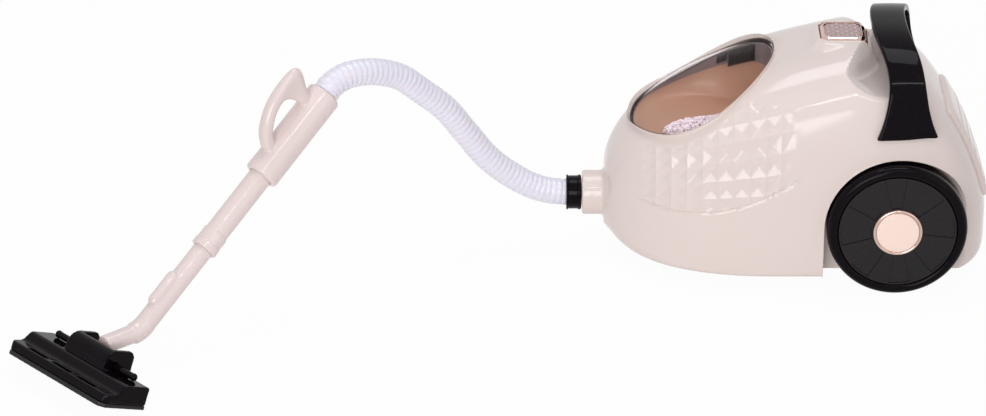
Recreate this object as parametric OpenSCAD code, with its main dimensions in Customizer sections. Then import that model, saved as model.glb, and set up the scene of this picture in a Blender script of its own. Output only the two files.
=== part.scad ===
// Toy vacuum cleaner: a canister on two big wheels, a ribbed hose, and a two-part wand with a floor nozzle.
// Canister parts are drawn from the rear axle: x to the back, y across, z up from the floor.

/* [Canister] */
// Distance from the rear axle to the nose
nose_reach = 182; // [174:1:190]
// Distance from the rear axle to the tail
tail_reach = 60; // [57:1:64]
// Height of the crown above the floor
crown_h = 147; // [143:1:152]
// Width of the body over its flanks
body_w = 140; // [136:1:144]
// Gap between the underside and the floor
ground_gap = 9; // [8:0.5:10]
// Height of the seam between the two shells
seam_h = 33; // [31:0.5:35]
// Wall of the shells
wall = 2.4; // [2:0.2:2.8]
// Height of the facets on the flanks
facet_h = 1; // [0.4:0.1:1.6]

/* [Window] */
// Length of the window seen from above
window_l = 90; // [80:1:94]
// Width of the window seen from above
window_w = 96; // [84:1:100]
// Distance from the rear axle to the middle of the window
window_reach = 120; // [118:1:122]
// Thickness of the window
window_t = 2.4; // [1.8:0.2:2.8]
// Width of the dark seal round the window
seal_w = 1.2; // [0.8:0.1:1.8]
// Diameter of a bead
bead_d = 5; // [4:0.5:5.5]

/* [Carry handle] */
// Height of the handle above the crown
handle_h = 10; // [8:1:26]
// Width of the strap at its waist
strap_w = 22; // [18:1:26]
// Width of the strap at its feet
strap_foot_w = 38; // [34:1:42]
// Thickness of the strap
strap_t = 4.5; // [3.5:0.5:5.5]
// Radius of the finger trough under the strap
trough_r = 36; // [34:1:38]
// Depth of the trough below the crown
trough_h = 21; // [18:0.5:24]

/* [Button] */
// Side of the push button
button_w = 29; // [26:1:31]
// How far the button goes down
button_travel = 2.5; // [1.5:0.5:3]
// Height of the button above the crown
button_rise = 2; // [1:0.5:3]
// Wire of the button spring
spring_wire = 0.8; // [0.6:0.1:1]

/* [Rear wheels] */
// Diameter of the rear wheels
wheel_d = 88; // [84:1:90]
// Width of a rear wheel
wheel_w = 18.5; // [17:0.5:19]
// How much wider the rear wheels stand than the body
wheel_track = 12; // [8:1:18]
// Diameter of the satin face disc
disc_d = 74; // [68:1:76]
// Diameter of the hub cap
cap_d = 31; // [26:1:34]
// Diameter of the rear axle
axle_d = 4; // [3:0.5:5]

/* [Front caster] */
// Distance from the rear axle to the caster pivot
caster_reach = 118; // [112:1:122]
// Diameter of the caster roller
roller_d = 16; // [15:0.5:17]
// Width of the caster roller
roller_w = 8; // [6:0.5:9]
// Distance the roller trails behind its pivot
caster_trail = 7; // [6:0.5:8]

/* [Drive] */
// Diameter of the motor
motor_d = 24; // [20:1:26]
// Length of the motor
motor_l = 27; // [24:1:30]
// Diameter of the impeller
impeller_d = 40; // [34:1:44]
// Number of impeller blades
blade_count = 7; // [5:1:9]
// Diameter of a battery
battery_d = 14.2; // [13.5:0.1:14.5]
// Length of a battery
battery_l = 50; // [48:0.5:51]

/* [Hose] */
// Height of the hose inlet above the floor
inlet_h = 35.5; // [35:0.5:36]
// Diameter of the inlet spigot
spigot_d = 28.4; // [27:0.2:29]
// How far the spigot stands out of the nose
spigot_l = 14; // [13:0.5:15]
// Diameter of the hose over its ribs
hose_d = 17; // [16:0.5:17.4]
// Bore of the hose
hose_bore = 13; // [11:0.5:13.6]
// Height of a rib
rib_h = 0.9; // [0.5:0.1:1.2]
// Number of ribs
rib_count = 56; // [40:1:64]
// Length of the black cuff
cuff_l = 10; // [9:0.5:10.5]

/* [Wand] */
// Diameter of the wand handle
grip_d = 22; // [21.5:0.5:24]
// Length of the wand handle
grip_l = 66; // [65:0.5:67]
// Diameter of the upper tube
upper_d = 15; // [14.6:0.2:15.4]
// Length of the upper tube that shows
upper_l = 44; // [40:1:48]
// Diameter of the collar
collar_d = 17; // [16.4:0.2:18]
// Length of the collar
collar_l = 13.5; // [12:0.5:15]
// Diameter of the lower tube
lower_d = 13; // [12.6:0.2:13.2]
// Length of the lower tube that shows, with its elbow
lower_l = 63.5; // [60:0.5:68]
// Width of the loop grip
loop_w = 9; // [7:0.5:11]
// Slope of the wand
wand_slope = 37; // [36.5:0.5:37.5]

/* [Nozzle] */
// Length of the nozzle
nozzle_l = 96; // [86:1:106]
// Depth of the nozzle, front to back
nozzle_w = 34; // [32:1:36]
// Height of the nozzle at its back
nozzle_h = 14.5; // [13.5:0.5:15]
// Width of the hood
hood_w = 38; // [34:1:42]
// Height of the hood above the nozzle
hood_h = 12; // [11:0.5:13]
// Diameter of the pivot pin
pin_d = 4.4; // [3.6:0.2:5]
// Length of the pivot pin
pin_l = 74; // [60:1:80]
// Tilt of the nozzle on its back edge
nozzle_tilt = 23; // [20:0.5:26]

/* [Hidden] */
$fn = 64;

cream = [0.87, 0.82, 0.8];
black = [0.08, 0.07, 0.08];
satin_black = [0.2, 0.18, 0.2];
rose_gold = [0.85, 0.72, 0.68];
steel = [0.7, 0.7, 0.72];

// Clearances: loose between seated pieces, slim between sliding ones, snug where pieces only sit together
loose = 0.3;
slim = 0.06;
snug = 0.1;

// Place of the rear axle and of the canister's middle plane in the part
axle_x = 242;
mid_y = 84;
module at_canister() translate([axle_x, mid_y, 0]) children();

// Body profile: two curves for the top line, an ellipse at the nose and a squarish end at the tail
half_w = body_w / 2;
nose_x = -nose_reach;
tail_x = tail_reach;
crown_x = -30;
nose_tip = 3;
tail_tip = 1.5;
wide_x = -78;
nose_top_z = 52.5;
brow_drop = 45;
trough_z = crown_h - trough_h;
handle_top = crown_h + handle_h;
nose_low_z = 19;
tail_top_z = 44;
section_power = 3.2;
tail_power = 2.6;
top_front = [[nose_x, nose_top_z], [nose_x, crown_h - brow_drop], [-95, crown_h - 14], [crown_x, crown_h]];
top_rear = [[crown_x, crown_h], [5, crown_h + 7.5], [tail_x - 14.5, crown_h - 43], [tail_x, tail_top_z]];
profile_steps = 24;

function bezier(p, t) = pow(1 - t, 3) * p[0] + 3 * pow(1 - t, 2) * t * p[1]
    + 3 * (1 - t) * t * t * p[2] + pow(t, 3) * p[3];
function slope(p, t) = pow(1 - t, 2) * (p[1] - p[0]) + 2 * (1 - t) * t * (p[2] - p[1])
    + t * t * (p[3] - p[2]);
function inward(p, t, d) = let (v = slope(p, t)) bezier(p, t) + d * [v[1], -v[0]] / norm(v);
function top_table(d) = [for (i = [0:profile_steps]) inward(top_front, i / profile_steps, d),
    for (i = [1:profile_steps]) inward(top_rear, i / profile_steps, d)];
outer_table = top_table(0);
inner_table = top_table(wall);
function top_z(x, table) = lookup(x, table);
function nose_u(x, d) = max(0, (wide_x - x) / (wide_x - nose_x + nose_tip - d));
function tail_u(x, d) = max(0, x / (tail_x + tail_tip - d));
function side_y(x, d) = (half_w - d) * sqrt(max(0, 1 - pow(nose_u(x, d), 2)))
    * pow(max(0, 1 - pow(tail_u(x, d), tail_power)), 1 / tail_power);
function low_z(x, d) = ground_gap + d + (nose_low_z - ground_gap) * pow(nose_u(x, d), 10);
function edge_r(x, d) = max(0.6, min(3 + 22 * pow(nose_u(x, d), 5) + 8 * pow(tail_u(x, d), 6) - d,
    side_y(x, d) - 1, seam_h - low_z(x, d) - 1));
// Height of the upper surface over a point of the floor plan
function skin_z(x, y, d, table) = seam_h + (top_z(x, table) - seam_h)
    * pow(max(0, 1 - pow(min(1, abs(y) / side_y(x, d)), section_power)), 1 / section_power);

// Stations along the body: close at the nose, evenly over the facets, close again at the tail
nose_zone = 22;
facet_pitch = 6;
facet_columns = 16;
nose_stations = 4;
tail_stations = 13;
facet_end = nose_x + nose_zone + facet_columns * facet_pitch;
function stations(d) = [
    for (k = [0:nose_stations - 1]) nose_x + d + (nose_zone - d) * pow(k / nose_stations, 2),
    for (k = [0:facet_columns]) nose_x + nose_zone + k * facet_pitch,
    for (k = [1:tail_stations]) facet_end + (tail_x - d - facet_end) * sin(90 * k / tail_stations)];

// Facets fill the flank between a smiling line below and the window above
facet_low_x = -138;
facet_low_z = seam_h + 17;
facet_rise = 0.0045;
facet_gap = 7;
facet_drop = 25;
function in_facets(x, y, z) = x > nose_x + nose_zone - 1 && x < facet_end - 1 && abs(y) > 25
    && z > facet_low_z + facet_rise * pow(x - facet_low_x, 2) + 3
    && z < crown_h - facet_drop
    && pow((x + window_reach) / (window_l / 2 + facet_gap), 2)
        + pow(y / (window_w / 2 + facet_gap), 2) > 1;
function arc_point(x, a, d, table, lift) = let (
    c = cos(a),
    y = sign(c) * pow(abs(c), 2 / section_power) * (side_y(x, d) + lift),
    z = seam_h + pow(sin(a), 2 / section_power) * (top_z(x, table) + lift - seam_h)) [x, y, z];

// A closed body from rings of points, with flat ends or ends closed by a ladder of triangles
function rung(n, j, at) = [[at + j, at + n - 1 - j, at + j + 1],
    [at + j + 1, at + n - 1 - j, at + n - 2 - j]];
function turned(f) = [for (t = f) [t[2], t[1], t[0]]];
module skin(rings, ladder = false) {
    n = len(rings[0]);
    last = len(rings) - 1;
    ends = ladder ? [for (j = [0:n / 2 - 2]) each concat(turned(rung(n, j, 0)), rung(n, j, last * n))]
        : [[for (j = [0:n - 1]) j], [for (j = [n - 1:-1:0]) last * n + j]];
    sides = [for (i = [0:last - 1], j = [0:n - 1]) let (
        a = i * n + j, b = i * n + (j + 1) % n, c = a + n, e = b + n) each
        ((i + j) % 2 == 0 ? [[a, c, e], [a, e, b]] : [[a, c, b], [b, c, e]])];
    polyhedron(points = [for (r = rings) each r], faces = concat(ends, sides), convexity = 6);
}

// Angles that put the points of a ring at even distances along it
function even_angle(q) = let (e = section_power / 2) 90 * pow(q, e) / (pow(q, e) + pow(1 - q, e));
function ring_angle(s) = s < 0.5 ? even_angle(2 * s) : 180 - even_angle(2 - 2 * s);
upper_steps = 44;
module upper_solid(d, drop) {
    table = top_table(d);
    x = stations(d);
    skin([for (i = [0:len(x) - 1]) [
        [x[i], -side_y(x[i], d), seam_h - drop],
        [x[i], side_y(x[i], d), seam_h - drop],
        for (j = [1:upper_steps - 1]) let (
            p = arc_point(x[i], ring_angle(j / upper_steps), d, table, 0),
            tip = d == 0 && i % 2 == 1 && j % 2 == 1 && in_facets(p[0], p[1], p[2]))
            tip ? arc_point(x[i], ring_angle(j / upper_steps), d, table, facet_h) : p]]);
}

edge_steps = 5;
module lower_solid(d, lift) {
    x = stations(d);
    skin([for (i = [0:len(x) - 1]) let (y = side_y(x[i], d), r = edge_r(x[i], d), z = low_z(x[i], d)) [
        [x[i], y, seam_h + lift],
        [x[i], -y, seam_h + lift],
        for (k = [0:edge_steps]) let (a = 90 * k / edge_steps)
            [x[i], -(y - r) - r * cos(a), z + r - r * sin(a)],
        for (k = [edge_steps:-1:0]) let (a = 90 * k / edge_steps)
            [x[i], (y - r) + r * cos(a), z + r - r * sin(a)]]]);
}

// Wheel wells: a round arch over each wheel, open below and behind
arch_gap = 1.5;
arch_r = wheel_d / 2 + arch_gap;
wheel_r = wheel_d / 2;
wheel_out_y = half_w + wheel_track / 2;
wheel_in_y = wheel_out_y - wheel_w;
well_gap = 1.5;
well_y = wheel_in_y - well_gap;
well_rear_z = 57;
far = 60;
module wheel_wells(grow) for (side = [-1, 1]) translate([0, side * (well_y - grow), 0]) rotate([90, 0, 0])
    scale([1, 1, -side]) linear_extrude(far) {
        translate([0, wheel_r]) circle(arch_r + grow, $fn = 72);
        translate([-arch_r - grow, -1]) square([2 * (arch_r + grow), wheel_r + 1]);
        translate([0, -1]) square([tail_x + far, well_rear_z + 1 + grow]);
    }

// Finger trough: a round groove across the body that leaves a pad standing for the button
trough_x = -6;
pad_x = -15;
pad_y = 19;
pad_side_x = -36;
pad_side_y = 45;
pad_draft = 6;
module pad_plan(grow) offset(delta = grow) polygon([[-90, -pad_side_y - 8], [pad_side_x - 4, -pad_side_y - 8],
    [pad_side_x, -pad_side_y], [pad_x, -pad_y], [pad_x, pad_y], [pad_side_x, pad_side_y],
    [pad_side_x - 4, pad_side_y + 8], [-90, pad_side_y + 8]]);
module button_pad(shrink) hull() {
    translate([0, 0, crown_h + 1]) linear_extrude(far) pad_plan(-shrink);
    translate([0, 0, trough_z - far]) linear_extrude(far) pad_plan(pad_draft - shrink);
}
module finger_trough(grow) difference() {
    translate([trough_x, 0, trough_z + trough_r]) rotate([90, 0, 0])
        cylinder(r = trough_r + grow, h = 2 * body_w, center = true, $fn = 64);
    button_pad(grow);
}

module window_plan(grow) translate([-window_reach, 0]) scale([window_l / window_w, 1])
    circle(window_w / 2 + grow, $fn = 72);

// Screw posts that hold the two shells together, each with two gussets
post_r = 3.6;
post_up = 22;
screw_r = 1.4;
head_r = 2.8;
head_h = 1.8;
screw_seat = 12;
posts = [[-132, half_w - 24], [-64, half_w - 18], [50, 24]];
module for_posts() for (p = posts, side = [-1, 1]) translate([p[0], side * p[1], 0]) children();
module upper_posts() for (p = posts, side = [-1, 1]) {
    hull() {
        translate([p[0], side * p[1], seam_h]) cylinder(r = post_r, h = post_up, $fn = 24);
        translate([p[0] - 1, side * (p[1] + 24) - 1, seam_h + 4]) cube([2, 2, post_up + 6]);
    }
    hull() {
        translate([p[0], side * p[1], seam_h]) cylinder(r = post_r - 1, h = post_up, $fn = 24);
        translate([p[0] + sign(p[0]) * 26 - 1, side * (p[1] + 6) - 1, seam_h + 4]) cube([2, 2, post_up + 6]);
    }
}
module lower_posts() for (p = posts, side = [-1, 1]) {
    hull() {
        translate([p[0], side * p[1], 0]) cylinder(r = post_r, h = seam_h, $fn = 24);
        translate([p[0], side * p[1], 0]) cylinder(r = post_r + 1, h = ground_gap + 4, $fn = 24);
    }
    hull() {
        translate([p[0] - 0.8, side * p[1] - 0.8, 0]) cube([1.6, 1.6, seam_h - 2]);
        translate([p[0] - 0.8, side * (p[1] + 24) - 0.8, 0]) cube([1.6, 1.6, seam_h - 8]);
    }
}

button_x = -32.6;
corner_cut = 4;
module square_plan(w, cut) polygon([[-w / 2 + cut, -w / 2], [w / 2 - cut, -w / 2], [w / 2, -w / 2 + cut],
    [w / 2, w / 2 - cut], [w / 2 - cut, w / 2], [-w / 2 + cut, w / 2], [-w / 2, w / 2 - cut],
    [-w / 2, -w / 2 + cut]]);
module along_x(x, z) translate([x, 0, z]) rotate([0, 90, 0]) children();
module along_y(y) translate([0, y, wheel_r]) rotate([-90, 0, 0]) children();
bush_r = axle_d / 2 + 3;

module upper_shell() color(cream) at_canister() difference() {
    union() {
        difference() {
            upper_solid(0, 0);
            finger_trough(0);
            wheel_wells(0);
            difference() {
                inner_solid(wall);
                finger_trough(wall);
                wheel_wells(wall);
            }
        }
        intersection() {
            upper_solid(wall / 2, 0);
            upper_posts();
        }
    }
    translate([0, 0, seam_h]) linear_extrude(crown_h) window_plan(0);
    translate([button_x, 0, trough_z]) linear_extrude(crown_h) square_plan(button_w + 2 * loose, corner_cut);
    along_x(nose_x - 20, inlet_h) cylinder(r = spigot_d / 2 + snug, h = 20 + 2 * wall, $fn = 48);
    along_y(-body_w / 2) cylinder(r = bush_r + snug, h = body_w, $fn = 32);
    for_posts() cylinder(r = screw_r + slim, h = seam_h + post_up - 4, $fn = 20);
}

// Coarser inside of the upper shell
inner_stations = [0, 0.01, 0.03, 0.07, 0.13, 0.21, 0.3, 0.39, 0.48, 0.57, 0.65, 0.72, 0.79, 0.85, 0.9, 0.94,
    0.97, 0.99, 1];
inner_steps = 28;
module inner_solid(d) {
    table = top_table(d);
    x = [for (k = inner_stations) nose_x + d + k * (tail_x - nose_x - 2 * d)];
    skin([for (i = [0:len(x) - 1]) [
        [x[i], -side_y(x[i], d), seam_h - 1],
        [x[i], side_y(x[i], d), seam_h - 1],
        for (j = [1:inner_steps - 1]) arc_point(x[i], ring_angle(j / inner_steps), d, table, 0)]]);
}

// Underside fittings
cell_gap = 1;
cell_pitch = battery_d + cell_gap;
cell_x = -50;
contact_t = 0.8;
bay_l = battery_l + 2 * contact_t + 1;
bay_w = 3 * cell_pitch + 1;
door_lap = 7;
door_l = bay_l + 2 * door_lap;
door_w = bay_w + 8;
door_t = wall * 0.65;
door_head = 0.8;
floor_z = ground_gap + wall;
cell_z = ground_gap + door_t + loose + battery_d / 2;
caster_x = -caster_reach;
socket_r = roller_d / 2 + caster_trail + 2;
socket_wall = 2;
socket_h = 15;
door_screw_x = cell_x + bay_l / 2 + door_lap / 2;
tray_post_r = 4;
tray_drop = 63;
tray_z = crown_h - tray_drop;
tray_posts = [[-140, 28], [-100, 36]];

module lower_shell() color(cream) at_canister() difference() {
    union() {
        difference() {
            lower_solid(0, 0);
            wheel_wells(0);
            difference() {
                lower_solid(wall, 10);
                wheel_wells(wall);
            }
        }
        intersection() {
            lower_solid(wall / 2, 0);
            union() {
                lower_posts();
                difference() {
                    translate([cell_x - bay_l / 2 - 2, -bay_w / 2 - 2, 0])
                        cube([bay_l + 4, bay_w + 4, floor_z + battery_d * 0.7]);
                    translate([cell_x - bay_l / 2, -bay_w / 2, 0]) cube([bay_l, bay_w, seam_h]);
                }
                translate([door_screw_x, 0, 0]) cylinder(r = 2.2, h = floor_z + 8, $fn = 20);
            }
        }
        for (p = tray_posts, side = [-1, 1]) translate([p[0], side * p[1], ground_gap + 1])
            cylinder(r = tray_post_r, h = tray_z - ground_gap - 1, $fn = 20);
    }
    translate([cell_x - door_l / 2 - snug, -door_w / 2 - snug, 0])
        cube([door_l + 2 * snug, door_w + 2 * snug, ground_gap + door_t]);
    translate([cell_x - bay_l / 2, -bay_w / 2, 0]) cube([bay_l, bay_w, floor_z + 1]);
    translate([door_screw_x, 0, 0]) cylinder(r = screw_r + slim, h = floor_z + 7, $fn = 20);
    translate([caster_x, 0, 0]) cylinder(r = socket_r + socket_wall + snug, h = seam_h, $fn = 48);
    along_x(nose_x - 20, inlet_h) cylinder(r = spigot_d / 2 + snug, h = 20 + 2 * wall, $fn = 48);
    for_posts() {
        cylinder(r = screw_r + loose, h = seam_h + 1, $fn = 20);
        cylinder(r = head_r + loose, h = screw_seat + head_h, $fn = 24);
    }
}

module shell_screws() color(steel) at_canister() for_posts() {
    translate([0, 0, screw_seat]) cylinder(r = head_r, h = head_h - 0.05, $fn = 24);
    translate([0, 0, screw_seat]) cylinder(r = screw_r, h = seam_h + post_up - 6 - screw_seat, $fn = 20);
}

// Window, its seal and the tray of beads behind it
window_x = -window_reach;
round_steps = 64;
function oval(r, a) = [window_x + (window_l / 2 - r) * cos(a), (window_w / 2 - r) * sin(a)];
function on_skin(p, drop) = [p[0], p[1], skin_z(p[0], p[1], 0, outer_table) - drop];
window_inset = seal_w + 2 * snug;
window_rings = 6;
module window() color([0.3, 0.2, 0.16]) at_canister() {
    n = round_steps;
    m = window_rings;
    reach = [for (i = [0:m - 1]) 1 - pow(i / m, 1.3)];
    plan = [for (k = reach, j = [0:n - 1]) let (q = oval(window_inset, 360 * j / n))
        [window_x + k * (q[0] - window_x), k * q[1]]];
    top = [for (q = plan) on_skin(q, 0), on_skin([window_x, 0], 0)];
    low = [for (q = plan) on_skin(q, window_t), on_skin([window_x, 0], window_t)];
    c = m * n;
    f = c + 1;
    polyhedron(points = concat(top, low), convexity = 4, faces = [
        for (j = [0:n - 1]) let (k = (j + 1) % n) each [
            [j, f + j, f + k], [j, f + k, k],
            [(m - 1) * n + k, c, (m - 1) * n + j],
            [f + (m - 1) * n + j, f + c, f + (m - 1) * n + k]],
        for (i = [0:m - 2], j = [0:n - 1]) let (k = (j + 1) % n, a = i * n + j, b = i * n + k) each [
            [a, b, b + n], [a, b + n, a + n],
            [f + b, f + a, f + a + n], [f + b, f + a + n, f + b + n]]]);
}

// A closed hoop: four corners per step round the window
module hoop(corners) {
    n = len(corners);
    m = len(corners[0]);
    polyhedron(points = [for (c = corners) each c], convexity = 6,
        faces = [for (i = [0:n - 1], j = [0:m - 1]) let (
            a = i * m + j, b = i * m + (j + 1) % m,
            c = ((i + 1) % n) * m + j, e = ((i + 1) % n) * m + (j + 1) % m)
            each [[a, b, e], [a, e, c]]]);
}
seal_rise = 0.3;
module window_seal() color(black) at_canister() hoop([for (i = [0:round_steps - 1]) let (
    a = 360 * i / round_steps, outer = oval(snug, a), inner = oval(snug + seal_w, a))
    [on_skin(inner, window_t), on_skin(outer, window_t),
        on_skin(outer, -seal_rise), on_skin(inner, -seal_rise)]]);

tray_wall = 1.6;
tray_inset = 5;
tray_gap = 0.5;
module bead_tray() color([0.75, 0.7, 0.68]) at_canister() {
    n = round_steps;
    ring = [for (i = [0:n - 1]) let (
        a = 360 * i / n, q = oval(tray_inset, a), r = oval(tray_inset + tray_wall, a))
        [[q[0], q[1], tray_z], on_skin(q, window_t + tray_gap), on_skin(r, window_t + tray_gap),
            [r[0], r[1], tray_z + tray_wall]]];
    polyhedron(points = [for (i = ring) each i], convexity = 6, faces = [
        [for (i = [0:n - 1]) 4 * i], [for (i = [n - 1:-1:0]) 4 * i + 3],
        for (i = [0:n - 1], j = [0:2]) let (a = 4 * i + j, b = 4 * ((i + 1) % n) + j) each [
            [a, a + 1, b + 1], [a, b + 1, b]]]);
}

bead_pitch = bead_d + 0.2;
module beads() color([0.95, 0.94, 0.94]) at_canister()
    for (i = [-4:4], j = [-4:3]) let (x = bead_pitch * (i + (abs(j) % 2) / 2), y = bead_pitch * 0.87 * j)
        if (pow(x / 19, 2) + pow((y + 2) / 14, 2) < 1)
            translate([window_x - 6 + x, y - 4, tray_z + tray_wall + bead_d / 2])
                sphere(d = bead_d, $fn = 16);

// Carry handle: a strap that follows the flanks at its feet and arches over the trough
strap_share = 0.27;
strap_foot_z = wheel_d + strap_share * (crown_h - wheel_d);
strap_y = half_w - 10;
strap_power = 2.6;
strap_steps = 32;
strap_gap = 0.25;
strap_rise = handle_top - strap_t - strap_foot_z;
function strap_width(z) = strap_w + (strap_foot_w - strap_w)
    * pow(max(0, 1 - (z - strap_foot_z) / (0.8 * strap_rise)), 1.6);
function strap_x(z) = 4.5 - 8.5 * pow(max(0, (z - strap_foot_z) / strap_rise), 6);
function flank_y(x, z) = side_y(x, 0) * pow(max(0, 1 - pow(min(1, max(0, z - seam_h)
    / (top_z(x, outer_table) - seam_h)), section_power)), 1 / section_power);
function strap_point(x, a, out) = let (
    c = cos(a),
    y0 = strap_y * pow(abs(c), 2 / strap_power),
    z0 = strap_foot_z + strap_rise * pow(sin(a), 2 / strap_power),
    y1 = max(y0, z0 < trough_z + 6 ? flank_y(x, z0) + strap_gap : 0),
    v = [pow(abs(y0 / strap_y), strap_power - 1) / strap_y,
        pow((z0 - strap_foot_z) / strap_rise, strap_power - 1) / strap_rise],
    u = v / norm(v))
    [x, sign(c) * (y1 + out * u[0]), z0 + out * u[1]];
module carry_handle() color(black) at_canister()
    skin([for (i = [0:strap_steps]) let (
        s = i / strap_steps, e = strap_power / 2,
        h = s < 0.5 ? s * 2 : 2 - s * 2,
        q = 90 * pow(h, e) / (pow(h, e) + pow(1 - h, e)),
        a = s < 0.5 ? q : 180 - q,
        z = strap_foot_z + strap_rise * pow(sin(a), 2 / strap_power),
        w = strap_width(z) / 2, m = strap_x(z))
        [strap_point(m - w + 1, a, 0), strap_point(m - w / 3, a, 0), strap_point(m + w / 3, a, 0),
            strap_point(m + w - 1, a, 0), strap_point(m + w, a, 1.2), strap_point(m + w, a, strap_t - 1.6),
            strap_point(m + w - 1.4, a, strap_t - 0.4), strap_point(m + w / 3, a, strap_t),
            strap_point(m - w / 3, a, strap_t), strap_point(m - w + 1.4, a, strap_t - 0.4),
            strap_point(m - w, a, strap_t - 1.6), strap_point(m - w, a, 1.2)]], true);

// Rear panel with shallow air louvres
panel_x = 33;
panel_t = 3;
panel_w = 58;
panel_steps = 16;
panel_gap = 0.2;
function panel_side(x) = min(panel_w / 2, 0.8 * side_y(x, 0));
function panel_point(t, k, d, table) = let (
    x = panel_x + (tail_x - d - 0.3 - panel_x) * sin(90 * t),
    y = k * panel_side(panel_x + (tail_x - 0.3 - panel_x) * sin(90 * t)))
    [x, y, skin_z(x, y, d, table)];
module rear_panel() color(cream) at_canister() {
    inner = top_table(-panel_gap);
    outer = top_table(-panel_t);
    groove = top_table(-panel_t + 0.8);
    skin([for (i = [0:panel_steps]) let (
        t = i / panel_steps, cut = i % 2 == 1 && i > 1 && i < panel_steps - 2) [
        for (k = [-1:0.5:1]) panel_point(t, k, -panel_gap, inner),
        for (k = [1:-0.5:-1]) abs(k) < 0.9 && cut ? panel_point(t, k, -panel_t + 0.8, groove)
            : panel_point(t, k * 0.97, -panel_t, outer)]], true);
}

// Button, its spring and the switch below it
button_top = crown_h + button_rise;
button_low = crown_h - 9;
flange_w = button_w + 2.4;
flange_t = 1.6;
shelf_z = trough_z - 4;
shelf_t = 2.4;
stem_r = 4;
switch_h = 5;
switch_w = 11;
stem_low = shelf_z + switch_h + button_travel + 0.6;
module power_button() color(rose_gold) at_canister() translate([button_x, 0, 0]) difference() {
    union() {
        translate([0, 0, button_low]) linear_extrude(button_top - 1.2 - button_low)
            square_plan(button_w, corner_cut);
        hull() {
            translate([0, 0, button_top - 1.3]) linear_extrude(0.1) square_plan(button_w, corner_cut);
            translate([0, 0, button_top - 0.1]) linear_extrude(0.1)
                square_plan(button_w - 3, corner_cut - 0.6);
        }
        translate([0, 0, button_low - flange_t]) linear_extrude(flange_t + 0.2)
            square_plan(flange_w, corner_cut);
        translate([0, 0, stem_low]) cylinder(r = stem_r, h = button_low - stem_low, $fn = 32);
    }
    for (i = [-1, 1], a = [45, 135]) translate([0, 0, button_top]) rotate([0, 0, a])
        translate([0, i * button_w * 0.17, 0]) cube([button_w * 0.62, 0.8, 0.8], center = true);
}
spring_r = 9.5;
spring_turns = 5;
spring_sides = 6;
spring_low = shelf_z + spring_wire / 2 + 0.05;
spring_high = button_low - flange_t - spring_wire / 2 - 0.05;
module button_spring() color(steel) at_canister() skin([for (i = [0:12 * spring_turns]) let (a = 30 * i,
    z = spring_low + (spring_high - spring_low) * i / (12 * spring_turns))
    [for (j = [0:spring_sides - 1]) let (b = -360 * j / spring_sides,
        r = spring_r + spring_wire / 2 * cos(b))
        [button_x + r * cos(a), r * sin(a), z + spring_wire / 2 * sin(b)]]], true);
module push_switch() color(satin_black) at_canister() translate([button_x, 0, shelf_z]) {
    translate([-switch_w / 2, -switch_w / 2, 0]) cube([switch_w, switch_w, switch_h - 1.5]);
    cylinder(r = 2, h = switch_h, $fn = 24);
}

// Motor, fan and the frame that carries them and the switch
frame_x = -61;
frame_t = 3;
motor_drop = 55;
motor_z = crown_h - motor_drop;
motor_x = frame_x + frame_t;
shaft_r = 1;
nose_r = 3.5;
leg_y = 37;
leg_w = 6;
impeller_l = 7;
impeller_x = frame_x - 2 - impeller_l;
module motor_bracket() color([0.75, 0.75, 0.75]) at_canister() difference() {
    union() {
        translate([frame_x, -leg_y, motor_z - 16]) cube([frame_t, 2 * leg_y, shelf_z - motor_z + 16]);
        for (side = [-1, 1]) {
            translate([frame_x, side * leg_y - leg_w / 2, floor_z])
                cube([frame_t, leg_w, shelf_z - floor_z - 20]);
            translate([frame_x, side * leg_y - leg_w / 2, floor_z]) cube([14, leg_w, 2.4]);
            translate([frame_x, side * 15 - 1, shelf_z - 14]) cube([frame_t + 8, 2, 13]);
        }
        translate([frame_x, -16, shelf_z - shelf_t]) cube([button_x + 17 - frame_x, 32, shelf_t]);
    }
    along_x(frame_x - 1, motor_z) cylinder(r = nose_r + snug, h = frame_t + 2, $fn = 40);
    for (side = [-1, 1]) translate([frame_x + 9, side * leg_y, 0])
        cylinder(r = screw_r + loose, h = floor_z + 6, $fn = 20);
}
module bracket_screws() color(steel) at_canister() for (side = [-1, 1])
    translate([frame_x + 9, side * leg_y, floor_z]) {
        translate([0, 0, 2.4]) cylinder(r = head_r, h = head_h, $fn = 24);
        translate([0, 0, 0.1]) cylinder(r = screw_r, h = 2.5, $fn = 20);
    }
module motor() color(steel) at_canister() difference() {
    union() {
        along_x(motor_x, motor_z) cylinder(d = motor_d, h = motor_l, $fn = 64);
        along_x(frame_x + 0.2, motor_z) cylinder(r = nose_r, h = frame_t, $fn = 40);
    }
    along_x(frame_x - 1, motor_z) cylinder(r = shaft_r + slim, h = motor_l, $fn = 32);
}
module motor_shaft() color(steel) at_canister() along_x(impeller_x - 0.5, motor_z)
    cylinder(r = shaft_r, h = frame_x - impeller_x + motor_l - 4, $fn = 32);
module impeller() color([0.6, 0.58, 0.58]) at_canister() along_x(impeller_x, motor_z) difference() {
    union() {
        cylinder(r = 4.5, h = impeller_l, $fn = 40);
        translate([0, 0, impeller_l - 1.5]) cylinder(d = impeller_d, h = 1.5, $fn = 64);
        for (k = [0:blade_count - 1]) rotate([0, 0, 360 * k / blade_count])
            translate([3, -0.6, 0]) cube([impeller_d / 2 - 4, 1.2, impeller_l - 1]);
    }
    translate([0, 0, -1]) cylinder(r = shaft_r + 0.01, h = impeller_l + 2, $fn = 32);
}

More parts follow.
